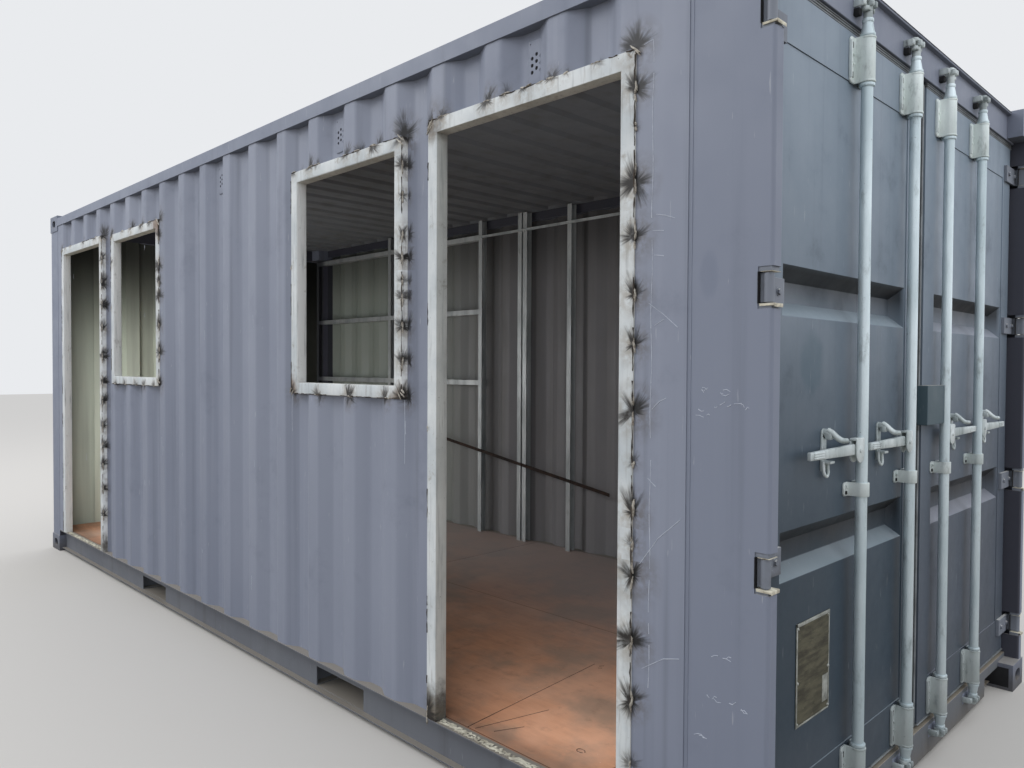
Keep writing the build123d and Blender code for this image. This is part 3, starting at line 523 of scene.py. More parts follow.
def weathered_paint(name, base, faded, grime_and_shade="#3f3d3a", dust="#a8a39a", rough=0.55, streaks=0.35, grime_share=0.3,
                    dust_share=0.75, underside_shade_share=0.5, scorched=False, chips=None, painted_top_light=None, layers=()):
    """Brushed-on container enamel: chalky fading in clouds, rain streaks, dirt blots, dust on ledges, and painted
    shade on the faces that look down.
    """
    material, tree, bsdf = start_material(name, Roughness=rough, IOR=1.5)
    source = add(tree, "ShaderNodeTexCoord")
    place = source.outputs["Object"]
    where = add(tree, "ShaderNodeSeparateXYZ", {0: place})
    facing = add(tree, "ShaderNodeSeparateXYZ", {0: source.outputs["Normal"]})
    clouds = pattern(tree, place, 900, 5.0, stretch=(1, 1, 3))
    paint = coat(tree, base, faded, clouds, 0.2, 0.8)
    # Painted light: the paint grows lighter toward the top, where the sky lights it
    if painted_top_light is not None:
        wander = add(tree, "ShaderNodeMath", {0: clouds, 1: 0.5, 2: where.outputs[2]}, operation="MULTIPLY_ADD")
        paint = coat(tree, paint, painted_top_light, wander, 1.0, 2.75)
    rain = pattern(tree, place, 60, 4.0, seed=3.0, stretch=(1, 1, 45))
    paint = coat(tree, paint, grime_and_shade, rain, 0.52, 0.8, streaks)
    wash = pattern(tree, place, 34, 3.0, seed=9.0, stretch=(1, 1, 70))
    paint = coat(tree, paint, faded, wash, 0.55, 0.78, streaks)
    blot = pattern(tree, place, 240, 6.0, 0.65, seed=5.0)
    paint = coat(tree, paint, grime_and_shade, blot, 0.56, 0.75, grime_share)
    if chips is not None:
        paint = coat(tree, paint, chips, pattern(tree, place, 42, 6.0, 0.7, seed=14.0), 0.69, 0.73)
    # Hair scratches are drawn 9 mm apart, coarser than the real ones, so that they show
    hair = pattern(tree, place, 9, 2.0, 0.5, seed=21.0, stretch=(1, 1, 9))
    paint = coat(tree, paint, "#c3c5c8", hair, 0.71, 0.79, 0.3)
    paint = coat(tree, paint, dust, facing.outputs[2], 0.45, 0.9, dust_share)
    # Painted shade: faces that look down are darkened
    paint = coat(tree, paint, grime_and_shade, facing.outputs[2], -0.7, -0.3, 0.0, underside_shade_share)
    for lay in layers:
        paint = lay(tree, paint, place, where, facing)
    if scorched:
        paint = scorch(tree, paint)
    gloss = add(tree, "ShaderNodeMapRange", {"Value": blot, "From Min": 0.35, "From Max": 0.7, "To Min": rough - 0.08,
                                             "To Max": min(1.0, rough + 0.14)})
    tree.links.new(gloss.outputs[0], bsdf.inputs["Roughness"])
    surface(tree, bsdf, paint, pattern(tree, place, 3.0, 3.0, seed=2.0), 0.12, 0.6)
    return material


def frame_tube_paint():
    """Pale zinc primer on square tube, chalky, greyer where it faces out, with weld heat and rust at the feet."""
    material, tree, bsdf = start_material("pale_primer_on_tube", Roughness=0.6, IOR=1.5)
    source = add(tree, "ShaderNodeTexCoord")
    place = source.outputs["Object"]
    facing = add(tree, "ShaderNodeSeparateXYZ", {0: source.outputs["Normal"]})
    clouds = pattern(tree, place, 180, 5.0)
    paint = coat(tree, "#dcddd6", "#c4c6c0", clouds, 0.3, 0.7)
    front = coat(tree, "#d8dbd9", "#bcc2c3", clouds, 0.3, 0.7)
    paint = coat(tree, front, paint, facing.outputs[1], -0.9, -0.3)
    # Painted light on the jambs that look toward the door end, save the one beside it
    far = add(tree, "ShaderNodeMath", {0: add(tree, "ShaderNodeSeparateXYZ", {0: place}).outputs[0], 1: 1.6},
              operation="LESS_THAN")
    clean = add(tree, "ShaderNodeMath", {0: facing.outputs[0], 1: far}, operation="MULTIPLY")
    paint = coat(tree, paint, "#f8f9f5", clean, 0.5, 0.95, 0.9)
    streak = pattern(tree, place, 18, 4.0, seed=4.0, stretch=(1, 1, 12))
    paint = coat(tree, paint, "#7f8281", streak, 0.5, 0.8, 0.5)
    dirt = pattern(tree, place, 70, 6.0, 0.7, seed=8.0)
    paint = coat(tree, paint, "#857a69", dirt, 0.58, 0.76, 0.7)
    paint = coat(tree, paint, "#4a4239", pattern(tree, place, 7, 3.0, 0.6, seed=11.0), 0.7, 0.75, 0.85)
    run = pattern(tree, place, 11, 4.0, 0.6, seed=18.0, stretch=(1, 1, 22))
    paint = coat(tree, paint, "#77695a", run, 0.6, 0.74, 0.6)
    for at, reach, tone in (((0.715, -1.216, 1.335), 0.085, "#6f4b30"), ((-0.83, -1.216, 2.29), 0.12, "#6b4a34"),
                            ((1.72, -1.21, 0.2), 0.13, "#3d3a33"), ((1.53, -1.216, 1.33), 0.06, "#6a5440"),
                            ((-1.80, -1.21, 0.2), 0.12, "#4a4238"), ((1.73, -1.2, 2.3), 0.07, "#4c4238")):
        far = add(tree, "ShaderNodeVectorMath", {0: place, 1: at}, operation="DISTANCE").outputs["Value"]
        ragged = add(tree, "ShaderNodeMath", {0: dirt, 1: reach * -1.6, 2: far}, operation="MULTIPLY_ADD")
        paint = coat(tree, paint, tone, ragged, -reach * 0.6, reach * 0.35, 0.0, 0.9)
    paint = scorch(tree, paint, soot="#26221e", halo="#8d7f6a")
    surface(tree, bsdf, paint, pattern(tree, place, 2.5, 3.0), 0.15, 0.6)
    return material


def zinc(name, light, dark, rough=0.5, metallic=0.25, rust=0.0, soil="#5b5f5d", soil_share=0.5, low="#59646a",
         low_shade_and_dirt_share=0.26, layers=()):
    """Hot-dip galvanised steel gone chalky: pale oxide in soft clouds, fine flecks, dirt where it is handled."""
    material, tree, bsdf = start_material(name, Roughness=rough, Metallic=metallic)
    place = add(tree, "ShaderNodeTexCoord").outputs["Object"]
    where = add(tree, "ShaderNodeSeparateXYZ", {0: place})
    clouds = pattern(tree, place, 120, 6.0, 0.6, seed=1.0, stretch=(1, 1, 4))
    metal = coat(tree, light, dark, clouds, 0.36, 0.68)
    metal = coat(tree, metal, dark, pattern(tree, place, 6, 3.0, 0.6, seed=6.0), 0.55, 0.8, 0.4)
    handled = pattern(tree, place, 40, 6.0, 0.7, seed=12.0, stretch=(1, 1, 3))
    metal = coat(tree, metal, soil, handled, 0.54, 0.76, soil_share)
    metal = coat(tree, metal, "#43453f", pattern(tree, place, 11, 4.0, 0.7, seed=23.0), 0.66, 0.75, 0.75)
    # Darker toward the ground: painted shade where less sky reaches, with dirt that gathers low
    metal = coat(tree, metal, low, where.outputs[2], 0.1, 2.1, 0.0, low_shade_and_dirt_share)
    for lay in layers:
        metal = lay(tree, metal, place, where, None)
    if rust:
        patch = pattern(tree, place, 30, 6.0, 0.7, seed=17.0)
        metal = coat(tree, metal, "#6b4630", patch, 0.75 - rust, 0.82 - rust)
    gloss = add(tree, "ShaderNodeMapRange", {"Value": clouds, "From Min": 0.35, "From Max": 0.7,
                                             "To Min": rough - 0.1, "To Max": rough + 0.15})
    tree.links.new(gloss.outputs[0], bsdf.inputs["Roughness"])
    surface(tree, bsdf, metal, pattern(tree, place, 4, 4.0), 0.2, 0.5)
    return material


def plywood():
    """Container floor plywood: red-brown stain worn pale, dull dirt, dark sheet joints and pale nicks."""
    material, tree, bsdf = start_material("worn_floor_plywood", Roughness=0.62)
    place = add(tree, "ShaderNodeTexCoord").outputs["Object"]
    grain = pattern(tree, place, 22, 5.0, 0.6, stretch=(6, 1, 1))
    wood = coat(tree, "#c48f6d", "#ae7c5e", grain, 0.2, 0.8)
    worn = pattern(tree, place, 520, 5.0, 0.55, seed=7.0)
    wood = coat(tree, wood, "#cb9c80", worn, 0.4, 0.68, 0.8)
    wood = coat(tree, wood, "#8b7767", pattern(tree, place, 330, 6.0, 0.6, seed=13.0), 0.4, 0.66, 0.75)
    wood = coat(tree, wood, "#5f4a3d", pattern(tree, place, 85, 7.0, 0.72, seed=27.0), 0.52, 0.76, 0.42)
    wood = coat(tree, wood, "#c98f6e", pattern(tree, place, 60, 7.0, 0.72, seed=33.0), 0.56, 0.76, 0.6)
    # The back half, walked on less, is greyer
    depth = add(tree, "ShaderNodeSeparateXYZ", {0: place}).outputs[1]
    wood = coat(tree, wood, "#b5afae", depth, -0.7, 0.9, 0.7)
    board = add(tree, "ShaderNodeTexBrick", {"Vector": place, "Scale": 1.0, "Mortar Size": 0.002, "Brick Width": 2.4,
                                             "Row Height": 1.16, "Color1": colour("#ffffff"),
                                             "Color2": colour("#ece3dc"), "Mortar": colour("#8f7d70")}, offset=0.0)
    wood = coat(tree, wood, board.outputs["Color"], 1.0, mode="MULTIPLY")
    wood = coat(tree, wood, "#d9cdbf", pattern(tree, place, 12, 3.0, 0.6, seed=19.0), 0.74, 0.78, 0.8)
    surface(tree, bsdf, wood, grain, 0.15, 0.8)
    return material


def mottled(name, first, second, size_mm, rough, metallic=0.0, third=None, stretch=(1, 1, 1)):
    """Two tones in clouds, with a third in small patches."""
    material, tree, bsdf = start_material(name, Roughness=rough, Metallic=metallic)
    place = add(tree, "ShaderNodeTexCoord").outputs["Object"]
    tone = coat(tree, first, second, pattern(tree, place, size_mm, 6.0, 0.65, 0.0, stretch), 0.35, 0.68)
    if third:
        tone = coat(tree, tone, third, pattern(tree, place, size_mm / 4, 5.0, 0.7, 4.0, stretch), 0.6, 0.72, 0.85)
    surface(tree, bsdf, tone, pattern(tree, place, size_mm / 12, 4.0), 0.25, 0.6)
    return material


MADE = {}


def finish_for(name):
    """Each real finish is made once, when a piece first asks for it."""
    if name not in MADE:
        MADE[name] = FINISHES[name]()
    return MADE[name]


def wall_enamel(name, **extra):
    """Blue-grey alkyd enamel brushed on steel sheet: matt, chalked by sun, with a faint violet cast."""
    settings = {"faded": "#8c919e", "grime_and_shade": "#50555f", "streaks": 0.45, "grime_share": 0.2, **extra}
    return weathered_paint(name, base=list(bpy.context.scene.cabin_sizes.wall), **settings)


def leaf_enamel(name, base, faded, dust, spot=()):
    """Dark slate enamel rolled on the door leaves: satin, lighter toward the top as painted light, dusty on the
    pressings, with painted shade under them.
    """
    return weathered_paint(name, base=base, faded=faded, grime_and_shade="#20272d", dust=dust, rough=0.45, streaks=0.17,
                           dust_share=0.55, underside_shade_share=0.85, painted_top_light="#808e9b",
                           # Painted shade under the pressings, and darker toward the bottom
                           layers=(*spot, press_shadow, shaded(2, 0.5, 0.32, "#434b54", 0.6)))


FINISHES = {
    # Enamelled corrugated sheet, its inner side dull and stained
    "front_wall": lambda: wall_enamel("front_wall_enamel", scorched=True, layers=(lined(1, 1, "#a9a69c"),)),
    "back_wall": lambda: wall_enamel("back_wall_enamel", scorched=True, layers=(
        # Inner side lighter and greener toward the far end, and painted shade at its top
        lined(1, -1, "#7f7e80", shaded(0, -0.2, -1.9, "#888f87", 1.0), shaded(2, 2.0, 2.45, "#2b2b29", 0.6)),)),
    "end_wall": lambda: wall_enamel("end_wall_enamel", layers=(
        # Painted shade at the top of the inner side and in the far corner
        lined(0, 1, "#bcc2b2", shaded(2, 1.6, 2.4, "#262826", 0.9), shaded(1, 0.75, 1.05, "#1d1f1e", 0.85)),)),
    "roof": lambda: wall_enamel("roof_enamel", dust_share=0.5, layers=(lined(2, -1, "#73777c"),)),
    # Enamel on folded and cast steel: smooth on the posts, chipped to rust on castings, rails and sill
    "posts": lambda: wall_enamel("post_enamel", faded="#7f8593", streaks=0.25, layers=(
        # Painted shade on the faces that look into the cabin
        worn_spot(0, 2.849, 1.68, 0.03, 0.07, "#6f7686"), inward_shade)),
    "sill": lambda: weathered_paint("sill_enamel", base="#5c6064", faded="#6c6f73", grime_and_shade="#403d38", dust="#9a8f7c",
                                    chips="#7b6a4d", grime_share=0.6, layers=(low_dirt("#6b5f4e", 0.12, 0.5),)),
    "castings": lambda: weathered_paint("casting_enamel", chips="#6b4a35", base="#6c7280", faded="#7b8190",
                                        layers=(low_dirt("#4e4a44", 0.16, 0.8),)),
    "rails": lambda: weathered_paint("rail_enamel", base="#60636a", faded="#6f7277", dust="#8d867b", grime_and_shade="#38322c",
                                     dust_share=0.9, chips="#5a4335"),
    # Slate enamel of the leaves; the left one is greener, the right one greyer and paler
    "left_door": lambda: leaf_enamel("left_door_enamel", "#2a3843", "#33424e", "#b4c4c9",
                                     (worn_spot(1, -0.855, 1.46, 0.085, 0.1, "#38525f"),)),
    "right_door": lambda: leaf_enamel("right_door_enamel", "#48505b", "#535b66", "#b9b8c0"),
    "lock_box": lambda: weathered_paint("lock_box_enamel", base="#3a4c54", faded="#45575e", grime_and_shade="#2c363b"),
    "hinges": lambda: weathered_paint("hinge_enamel", base="#676c75", faded="#7f848d", chips="#c9cac2",
                                      grime_share=0.7, dust="#cfcfc8"),
    # Pale primer on tube
    "tube": frame_tube_paint,
    # Galvanised rods, pressed brackets, cast cams and forged handles: chalky, dirtier where they rub
    "rod_zinc": lambda: zinc("rod_zinc", "#e6f2f4", "#c6d5d8", 0.42, 0.35, soil="#6f7876", soil_share=0.6),
    "gear_zinc": lambda: zinc("gear_zinc", "#f0f7f3", "#ccd6d2", rust=0.01, soil="#5e6563", soil_share=0.6,
                              low="#465055", low_shade_and_dirt_share=0.5),
    "cam_zinc": lambda: zinc("cam_zinc", "#cdd5d3", "#8d9695", rust=0.03, soil="#2c2d2d", soil_share=0.85),
    "worn_zinc": lambda: zinc("worn_zinc", "#dde4e2", "#a4aeac", rust=0.02, soil="#3f4443", soil_share=0.9),
    "stud_zinc": lambda: zinc("stud_zinc", "#d0d4d4", "#adb2b3", metallic=0.4, layers=(
        # Painted shade toward the far end, deepest in the far corner
        shaded(0, -1.0, -2.2, "#4a4d55", 0.35), shaded(0, -2.78, -2.9, "#33353d", 0.85))),
    # Mild steel flat bar, rusted through its mill scale
    "rusty": lambda: mottled("rusted_flat_bar", "#3a2a22", "#211a17", 60, 0.8, 0.2, third="#7a4326"),
    # Extruded EPDM, greyed by dust on its lips
    "rubber": lambda: mottled("weathered_rubber", "#2a2d2f", "#444645", 120, 0.7),
    "seal_edge": lambda: mottled("dulled_seal_lip", "#83888a", "#66696a", 90, 0.6, third="#4a4a48"),
    "plywood": plywood,
    # Bare aluminium plate under brown grime, its rim rubbed bright
    "plate": lambda: mottled("weathered_plate", "#5f5c4a", "#3a372c", 26, 0.5, 0.3, third="#858065",
                             stretch=(1, 3, 0.6)),
    "plate_edge": lambda: mottled("plate_rim", "#b7b9b2", "#85877f", 40, 0.5, 0.5),
    "vent": lambda: wall_enamel("vent_cover_enamel"),
    # Painted shade: dark sheets where castings, slots and vents are hollow and unlit
    "recess_shade": lambda: mottled("painted_recess_shade", "#131315", "#1b1b1d", 50, 0.9),
    # Grime burnt into an edge by the torch
    "burnt": lambda: mottled("burnt_edge", "#2b2622", "#4a4036", 14, 0.9, third="#7b6f5f"),
    # Painted shadow along the header's top lip
    "shade_line": lambda: mottled("painted_lip_shadow", "#2c2c33", "#3d3e46", 60, 0.8),
    # Stick welds: spattered, half slag and half bare metal
    "bead": lambda: mottled("weld_bead", "#bdb7aa", "#7d7468", 9, 0.5, 0.2, third="#54402f"),
    "cut_edge": lambda: mottled("torn_primer_edge", "#e4dfca", "#9a9280", 26, 0.8, third="#5e4c3b",
                                stretch=(2.5, 1, 1)),
    # Marking-out chalk and scriber lines
    "chalk": lambda: mottled("chalk_line", "#c6cad3", "#aab0bb", 14, 0.9),
    "dark_line": lambda: mottled("scored_line", "#4a3930", "#6b5546", 30, 0.9),
}


# Pieces and stage


def seen_and_lit(tree, shader, output, seen, lit):
    """One shader for the camera's own view and another for the light that is given back."""
    tree.nodes.clear()
    path = add(tree, "ShaderNodeLightPath")
    both = add(tree, "ShaderNodeMixShader", {0: path.outputs["Is Camera Ray"], 1: add(tree, shader, lit),
                                             2: add(tree, shader, seen)})
    add(tree, output, {"Surface": both})


def vent_cover(centre, low, high):
    """A cover with three columns of holes, the middle one higher, and two screw holes."""
    cover = slab(centre - VENT_HALF, centre + VENT_HALF, low[1], high[1] - 0.4, low[2], high[2], 1.6)
    middle = (low[2] + high[2]) / 2 - 8
    drills = []
    for column, lift in ((-19, 0), (0, 10), (19, 0)):
        for row in (-22, 0, 22):
            x, z = centre + column, middle + row + lift
            drills.append(bar((x, low[1] - 4, z), (x, low[1] + 3.4, z), 6.2, sides=16))
    for side in (-1, 1):
        x, z = centre + side * 27, high[2] - 10
        drills.append(bar((x, low[1] - 4, z), (x, low[1] + 3, z), 2.6, sides=10))
    drill = join(drills)
    modify(cover, "BOOLEAN", object=drill, solver="EXACT")
    bpy.data.objects.remove(drill)
    return cover


def plate_rim(low, high):
    """The rim of the bare plate, a bright patch at its foot, and six rivets."""
    pieces = [slab(2958.2, 2960.4, low[1], low[1] + 7, low[2], high[2], 0.8),
              slab(2958.2, 2960.4, low[1], high[1], high[2] - 10, high[2], 0.8),
              slab(2958.2, 2959.6, high[1] - 5, high[1], low[2], high[2], 0.6),
              slab(2958.2, 2959.6, low[1], high[1], low[2], low[2] + 5, 0.6),
              slab(2958.2, 2959.2, high[1] - 44, high[1] - 8, low[2] + 26, low[2] + 104, 0.3)]
    for y in (low[1] + 8, high[1] - 8):
        for z in (low[2] + 10, (low[2] + high[2]) / 2 - 20, high[2] - 14):
            pieces.append(bar((2958, y, z), (2962.5, y, z), 5, 3.4, sides=14, edge=0.8))
    return pieces


def weld_beads(low, high, marks, closed, lumps, width, chance):
    """Three lumps at each mark of a frame: along its jambs, its head and sill, or aslant on its mitres."""
    middle_x = (low[0] + high[0]) / 2
    beads = []
    for x, z, reach in marks:
        upright = min(abs(x - low[0]), abs(x - high[0])) < 6
        corner = upright and (abs(z - high[2]) < 20 or (closed and abs(z - low[2]) < 20))
        for _ in range(3):
            long = reach * chance.uniform(0.16, 0.3)
            wide = width * chance.uniform(0.3, 0.62)
            shift = chance.uniform(-0.42, 0.42) * reach
            lean = chance.uniform(-0.25, 0.25)
            place = [x + (chance.uniform(-3, 3) if upright else shift), WALL_FACE - 1,
                     z + (shift if upright else chance.uniform(-2, 3))]
            if corner:
                lean = math.copysign(math.radians(chance.uniform(32, 55)), middle_x - x)
                place = [x + chance.uniform(-6, 22) * (1 if x < middle_x else -1), WALL_FACE - 3,
                         z - chance.uniform(4, 30) * (1 if z > low[2] + 400 else -1)]
            bead = bpy.data.objects.new("bead", chance.choice(lumps).data.copy())
            bpy.context.collection.objects.link(bead)
            size = (wide, 4.0, long) if upright else (long, 4.0, wide)
            bead.matrix_world = (Matrix.Translation(mm(*place)) @ Matrix.Rotation(lean, 4, "Y")
                                 @ Matrix.Diagonal((*mm(*size), 1)))
            beads.append(bead)
    return beads


def burnt_lines(low, high, closed, chance):
    """Lines burnt along a frame's outer edges, broken off and taken up again; each side has its own share."""
    edges = []
    sides = [((low[0], low[2]), (low[0], high[2]), 0.35), ((high[0], low[2]), (high[0], high[2]), 0.75),
             ((low[0], high[2]), (high[0], high[2]), 0.5)]
    if closed:
        sides.append(((low[0], low[2]), (high[0], low[2]), 0.95))
    for (xa, za), (xb, zb), share in sides:
        length = math.hypot(xb - xa, zb - za)
        at = 6.0
        while at < length - 30:
            run = min(chance.uniform(25, 150), length - 6 - at)
            if chance.random() < share:
                steps = max(2, int(run / 14))
                line = []
                for i in range(steps + 1):
                    part = (at + run * i / steps) / length
                    wander = chance.uniform(0.2, 2.6)
                    x, z = xa + (xb - xa) * part, za + (zb - za) * part
                    if xa == xb:
                        x += wander if xa == low[0] else -wander
                    else:
                        z += wander if za == low[2] else -wander
                    line.append((x, low[1] - 0.1, z))
                edges.append(line)
            at += run + chance.uniform(4, 40)
    return edges


def torn_strip(x0, x1, seed):
    """Primer torn off at a threshold: a ragged strip with three tenths of its cells left out."""
    chance = random.Random(seed + 3)
    alone()
    bpy.ops.mesh.primitive_grid_add(x_subdivisions=90, y_subdivisions=4, size=1)
    strip = bpy.context.object
    between_jambs = x1 - x0 - 104
    with editing(strip):
        bpy.ops.transform.resize(value=(*mm(between_jambs, 26), 1), center_override=(0, 0, 0))
        bpy.ops.transform.translate(value=mm((x0 + x1) / 2, -1197, 168))
        bpy.ops.transform.vertex_random(offset=0.004, uniform=0.9, seed=seed)
        bpy.ops.transform.resize(value=(1, 1, 0.3), center_override=mm(0, 0, 168.2))
        bpy.ops.mesh.select_mode(type="FACE")
        bpy.ops.mesh.select_all(action="DESELECT")
        shape = bmesh.from_edit_mesh(strip.data)
        for face in shape.faces:
            face.select_set(chance.random() < 0.3)
        bmesh.update_edit_mesh(strip.data)
        bpy.ops.mesh.delete(type="FACE")
        bpy.ops.mesh.select_mode(type="VERT")
    return modify(strip, "SOLIDIFY", thickness=0.0012)


def lamp(name, place, turn, power, wide, high=None):
    """A soft lamp; one with a height of its own fills an opening and isn't seen."""
    light = bpy.data.lights.new(name, "AREA")
    light.energy = power
    light.size = wide
    holder = bpy.data.objects.new(name, light)
    bpy.context.collection.objects.link(holder)
    holder.location = place
    holder.rotation_euler = turn
    if high is not None:
        light.shape = "RECTANGLE"
        light.size_y = high
        holder.visible_camera = False


class CabinSizes(bpy.types.PropertyGroup):
    """Sizes of the dressing"""
    edge: bpy.props.FloatProperty(name="Edge rounding", description="Rounding of the rolled steel's edges, mm",
                                  default=3.0, min=0.5, max=8.0)
    bend: bpy.props.FloatProperty(name="Sheet bend", description="Rounding of the wall's bends, mm", default=9.0,
                                  min=1.0, max=14.0)
    bead: bpy.props.FloatProperty(name="Weld bead", description="Half width of a weld bead, mm", default=6.0,
                                  min=2.0, max=12.0)
    bolt: bpy.props.FloatProperty(name="Bolt head", description="Half width of a bracket's bolt head, mm",
                                  default=6.5, min=3.0, max=12.0)
    wall: bpy.props.FloatVectorProperty(name="Wall enamel", description="Colour of the walls, posts and rails",
                                        subtype="COLOR", size=4, default=colour("#777d8c"), min=0.0, max=1.0)


class CABIN_OT_stage(bpy.types.Operator):
    """Floor, soft light, world and the camera at the photograph's place"""
    bl_idname = "cabin.stage"
    bl_label = "Stage"

    def execute(self, context):
        alone()
        bpy.ops.mesh.primitive_plane_add(size=80, location=(0, 0, 0))
        floor = context.object
        floor.name = "studio_floor"
        material = bpy.data.materials.new("studio_floor")
        material.use_nodes = True
        seen_and_lit(material.node_tree, "ShaderNodeBsdfDiffuse", "ShaderNodeOutputMaterial",
                     {"Color": colour("#c9c5be")}, {"Color": colour("#8d877e")})
        floor.data.materials.append(material)
        world = bpy.data.worlds.new("soft_sky")
        context.scene.world = world
        world.use_nodes = True
        seen_and_lit(world.node_tree, "ShaderNodeBackground", "ShaderNodeOutputWorld",
                     {"Color": colour("#e9ebee"), "Strength": 1.0}, {"Color": colour("#e6eaf2"), "Strength": 1.35})
        for name, place, aim, size, power in (
                ("high_soft_light", (-6.0, -8.0, 9.0), (0, 0, 1), 6.0, 420.0),
                ("door_end_light", (9.0, 1.6, 9.0), (3, 0, 1.4), 4.0, 105.0)):
            lamp(name, place, (Vector(aim) - Vector(place)).to_track_quat("-Z", "Y").to_euler(), power, size)
        for x, z, wide, high, power in ((2.159, 0.95, 0.7, 1.3, 7.0), (1.1375, 1.7, 0.66, 0.5, 2.0),
                                        (-2.285, 0.95, 0.7, 1.3, 10.5), (-1.2305, 1.7, 0.66, 0.5, 4.0)):
            lamp("daylight_through_opening", (x, -1.12, z), (math.radians(90), 0, 0), power, wide, high)
        lens = bpy.data.cameras.new("photo_camera")
        lens.sensor_width = 36.0
        lens.lens = 27.668
        lens.clip_end = 200.0
        camera = bpy.data.objects.new("photo_camera", lens)
        context.collection.objects.link(camera)
        yaw, pitch, roll = (math.radians(a) for a in (45.3737, -1.2457, 0.2763))
        ahead = Vector((-math.sin(yaw) * math.cos(pitch), math.cos(yaw) * math.cos(pitch), math.sin(pitch)))
        right = Vector((math.cos(yaw), math.sin(yaw), 0))
        up = right.cross(ahead)
        level = (right * math.cos(roll) + up * math.sin(roll), up * math.cos(roll) - right * math.sin(roll), -ahead)
        camera.matrix_world = Matrix.Translation((3.93485, -2.99358, 1.44374)) @ Matrix(level).transposed().to_4x4()
        context.scene.camera = camera
        context.scene.view_settings.view_transform = "Standard"
        return {"FINISHED"}


class CABIN_OT_steelwork(bpy.types.Operator):
    """Castings, posts, rails, sills and leaves with the rounded edges of rolled steel"""
    bl_idname = "cabin.steelwork"
    bl_label = "Steelwork"

    def execute(self, context):
        edge = context.scene.cabin_sizes.edge
        for node, width, finish in (
                ("corner_castings", 5.0, "castings"), ("door_end_posts", edge, "posts"),
                ("door_end_sill", edge, "sill"), ("door_end_header", edge, "posts"),
                ("far_end_posts", edge, "posts"), ("far_end_rails", edge, "posts"),
                ("top_side_rails", edge, "posts"), ("bottom_side_rails", 1.5, "rails"),
                ("fork_pocket_plates", 1.5, "rails"), ("lock_box", 3.0, "lock_box"),
                ("left_hinge_blades", 2.0, "hinges"), ("right_hinge_blades", 2.0, "hinges")):
            level_faces(rounded_copy(node, width, finish))
        for side in ("left_door", "right_door"):
            level_faces(rounded_copy(side + "_leaf", 2.5, side, angle=25, segments=3))
        # Painted shadow along the header's top lip: a dark strip on its front
        lip = slab(2983, 2985.8, -1050, 1050, 2578.6, 2583.4, 0.4)
        dress(lip, "header_lip_edge", "shade_line", "door_end_posts")
        shade_sheets = []
        # Painted shade: dark sheets in the bottom castings' inner faces and in the hinge notches
        for side in (-1, 1):
            shade_sheets.append(slab(2872, 3012, side * 1056.2, side * 1057, 14, 100, 0.3))
            for level in HINGE_LEVELS:
                shade_sheets.append(slab(2985.2, 2986, side * 1168, side * 1217.5, level - 39, level + 39, 0.3))
        for node, side in (("left_hinge_blades", -1), ("right_hinge_blades", 1)):
            bolts = [bolt(2971.6, side * y, level, 9, 5) for level in HINGE_LEVELS for y in (1168, 1082)]
            dress(join(bolts), node.replace("blades", "bolts"), "hinges", node)
        top = node_box("top_side_rails")[0][2] + 4
        gussets = [slab(2768, 2853, side * 1180, side * 1212, 2466, top, 1.5) for side in (-1, 1)]
        dress(join(gussets), "post_top_gussets", "posts", "door_end_posts")
        dress(join(shade_sheets), "steelwork_hollow_shade", "recess_shade", "door_end_posts")
        return {"FINISHED"}


class CABIN_OT_walls(bpy.types.Operator):
    """Corrugated walls with rounded bends and soot at the weld marks"""
    bl_idname = "cabin.walls"
    bl_label = "Walls"

    def execute(self, context):
        bend = context.scene.cabin_sizes.bend
        for part in frame["record"]["subparts"]:
            node = part["node"]
            if node.startswith("front_wall"):
                divide(bent_sheet(node, bend, "front_wall"), ALL_MARKS)
        divide(bent_sheet("back_wall", bend, "back_wall"), BACK_WALL_MARKS)
        bent_sheet("far_end_wall", 5.0, "end_wall")
        coated(bpy.data.objects["roof_sheet"], "roof")
        return {"FINISHED"}


class CABIN_OT_opening_frames(bpy.types.Operator):
    """Square tube frames round the doorways and windows, with mitred and scorched corners"""
    bl_idname = "cabin.opening_frames"
    bl_label = "Opening frames"

    def execute(self, context):
        for node in ("near_doorway_frame", "far_doorway_frame", "near_window_frame", "far_window_frame"):
            divide(rounded_copy(node, 4.0, "tube", segments=3), ALL_MARKS)
        return {"FINISHED"}


class CABIN_OT_weld_beads(bpy.types.Operator):
    """Lumpy weld beads where the frames meet the wall's crests and at their mitres, and burnt edges between"""
    bl_idname = "cabin.weld_beads"
    bl_label = "Weld beads"

    def execute(self, context):
        width = context.scene.cabin_sizes.bead
        chance = random.Random(7)
        lumps = []
        for seed in range(6):
            alone()
            bpy.ops.mesh.primitive_ico_sphere_add(subdivisions=3, radius=1)
            lump = context.object
            reshape(lump, lambda spot: True,
                    lambda: bpy.ops.transform.vertex_random(offset=0.16, uniform=0.2, normal=0.8, seed=seed))
            lumps.append(lump)
        for name, marks in (("near_doorway", NEAR_DOORWAY_MARKS), ("near_window", NEAR_WINDOW_MARKS),
                            ("far_doorway", FAR_DOORWAY_MARKS), ("far_window", FAR_WINDOW_MARKS)):
            low, high = node_box(name + "_frame")
            beads = weld_beads(low, high, marks, "window" in name, lumps, width, chance)
            dress(join(beads), name + "_weld_beads", "bead", name + "_frame", smooth=60)
            edges = burnt_lines(low, high, "window" in name, chance)
            dress(strokes(edges, 1.7, seed=5, vary=0.7), name + "_burnt_edges", "burnt", name + "_frame")
        for lump in lumps:
            bpy.data.objects.remove(lump)
        return {"FINISHED"}


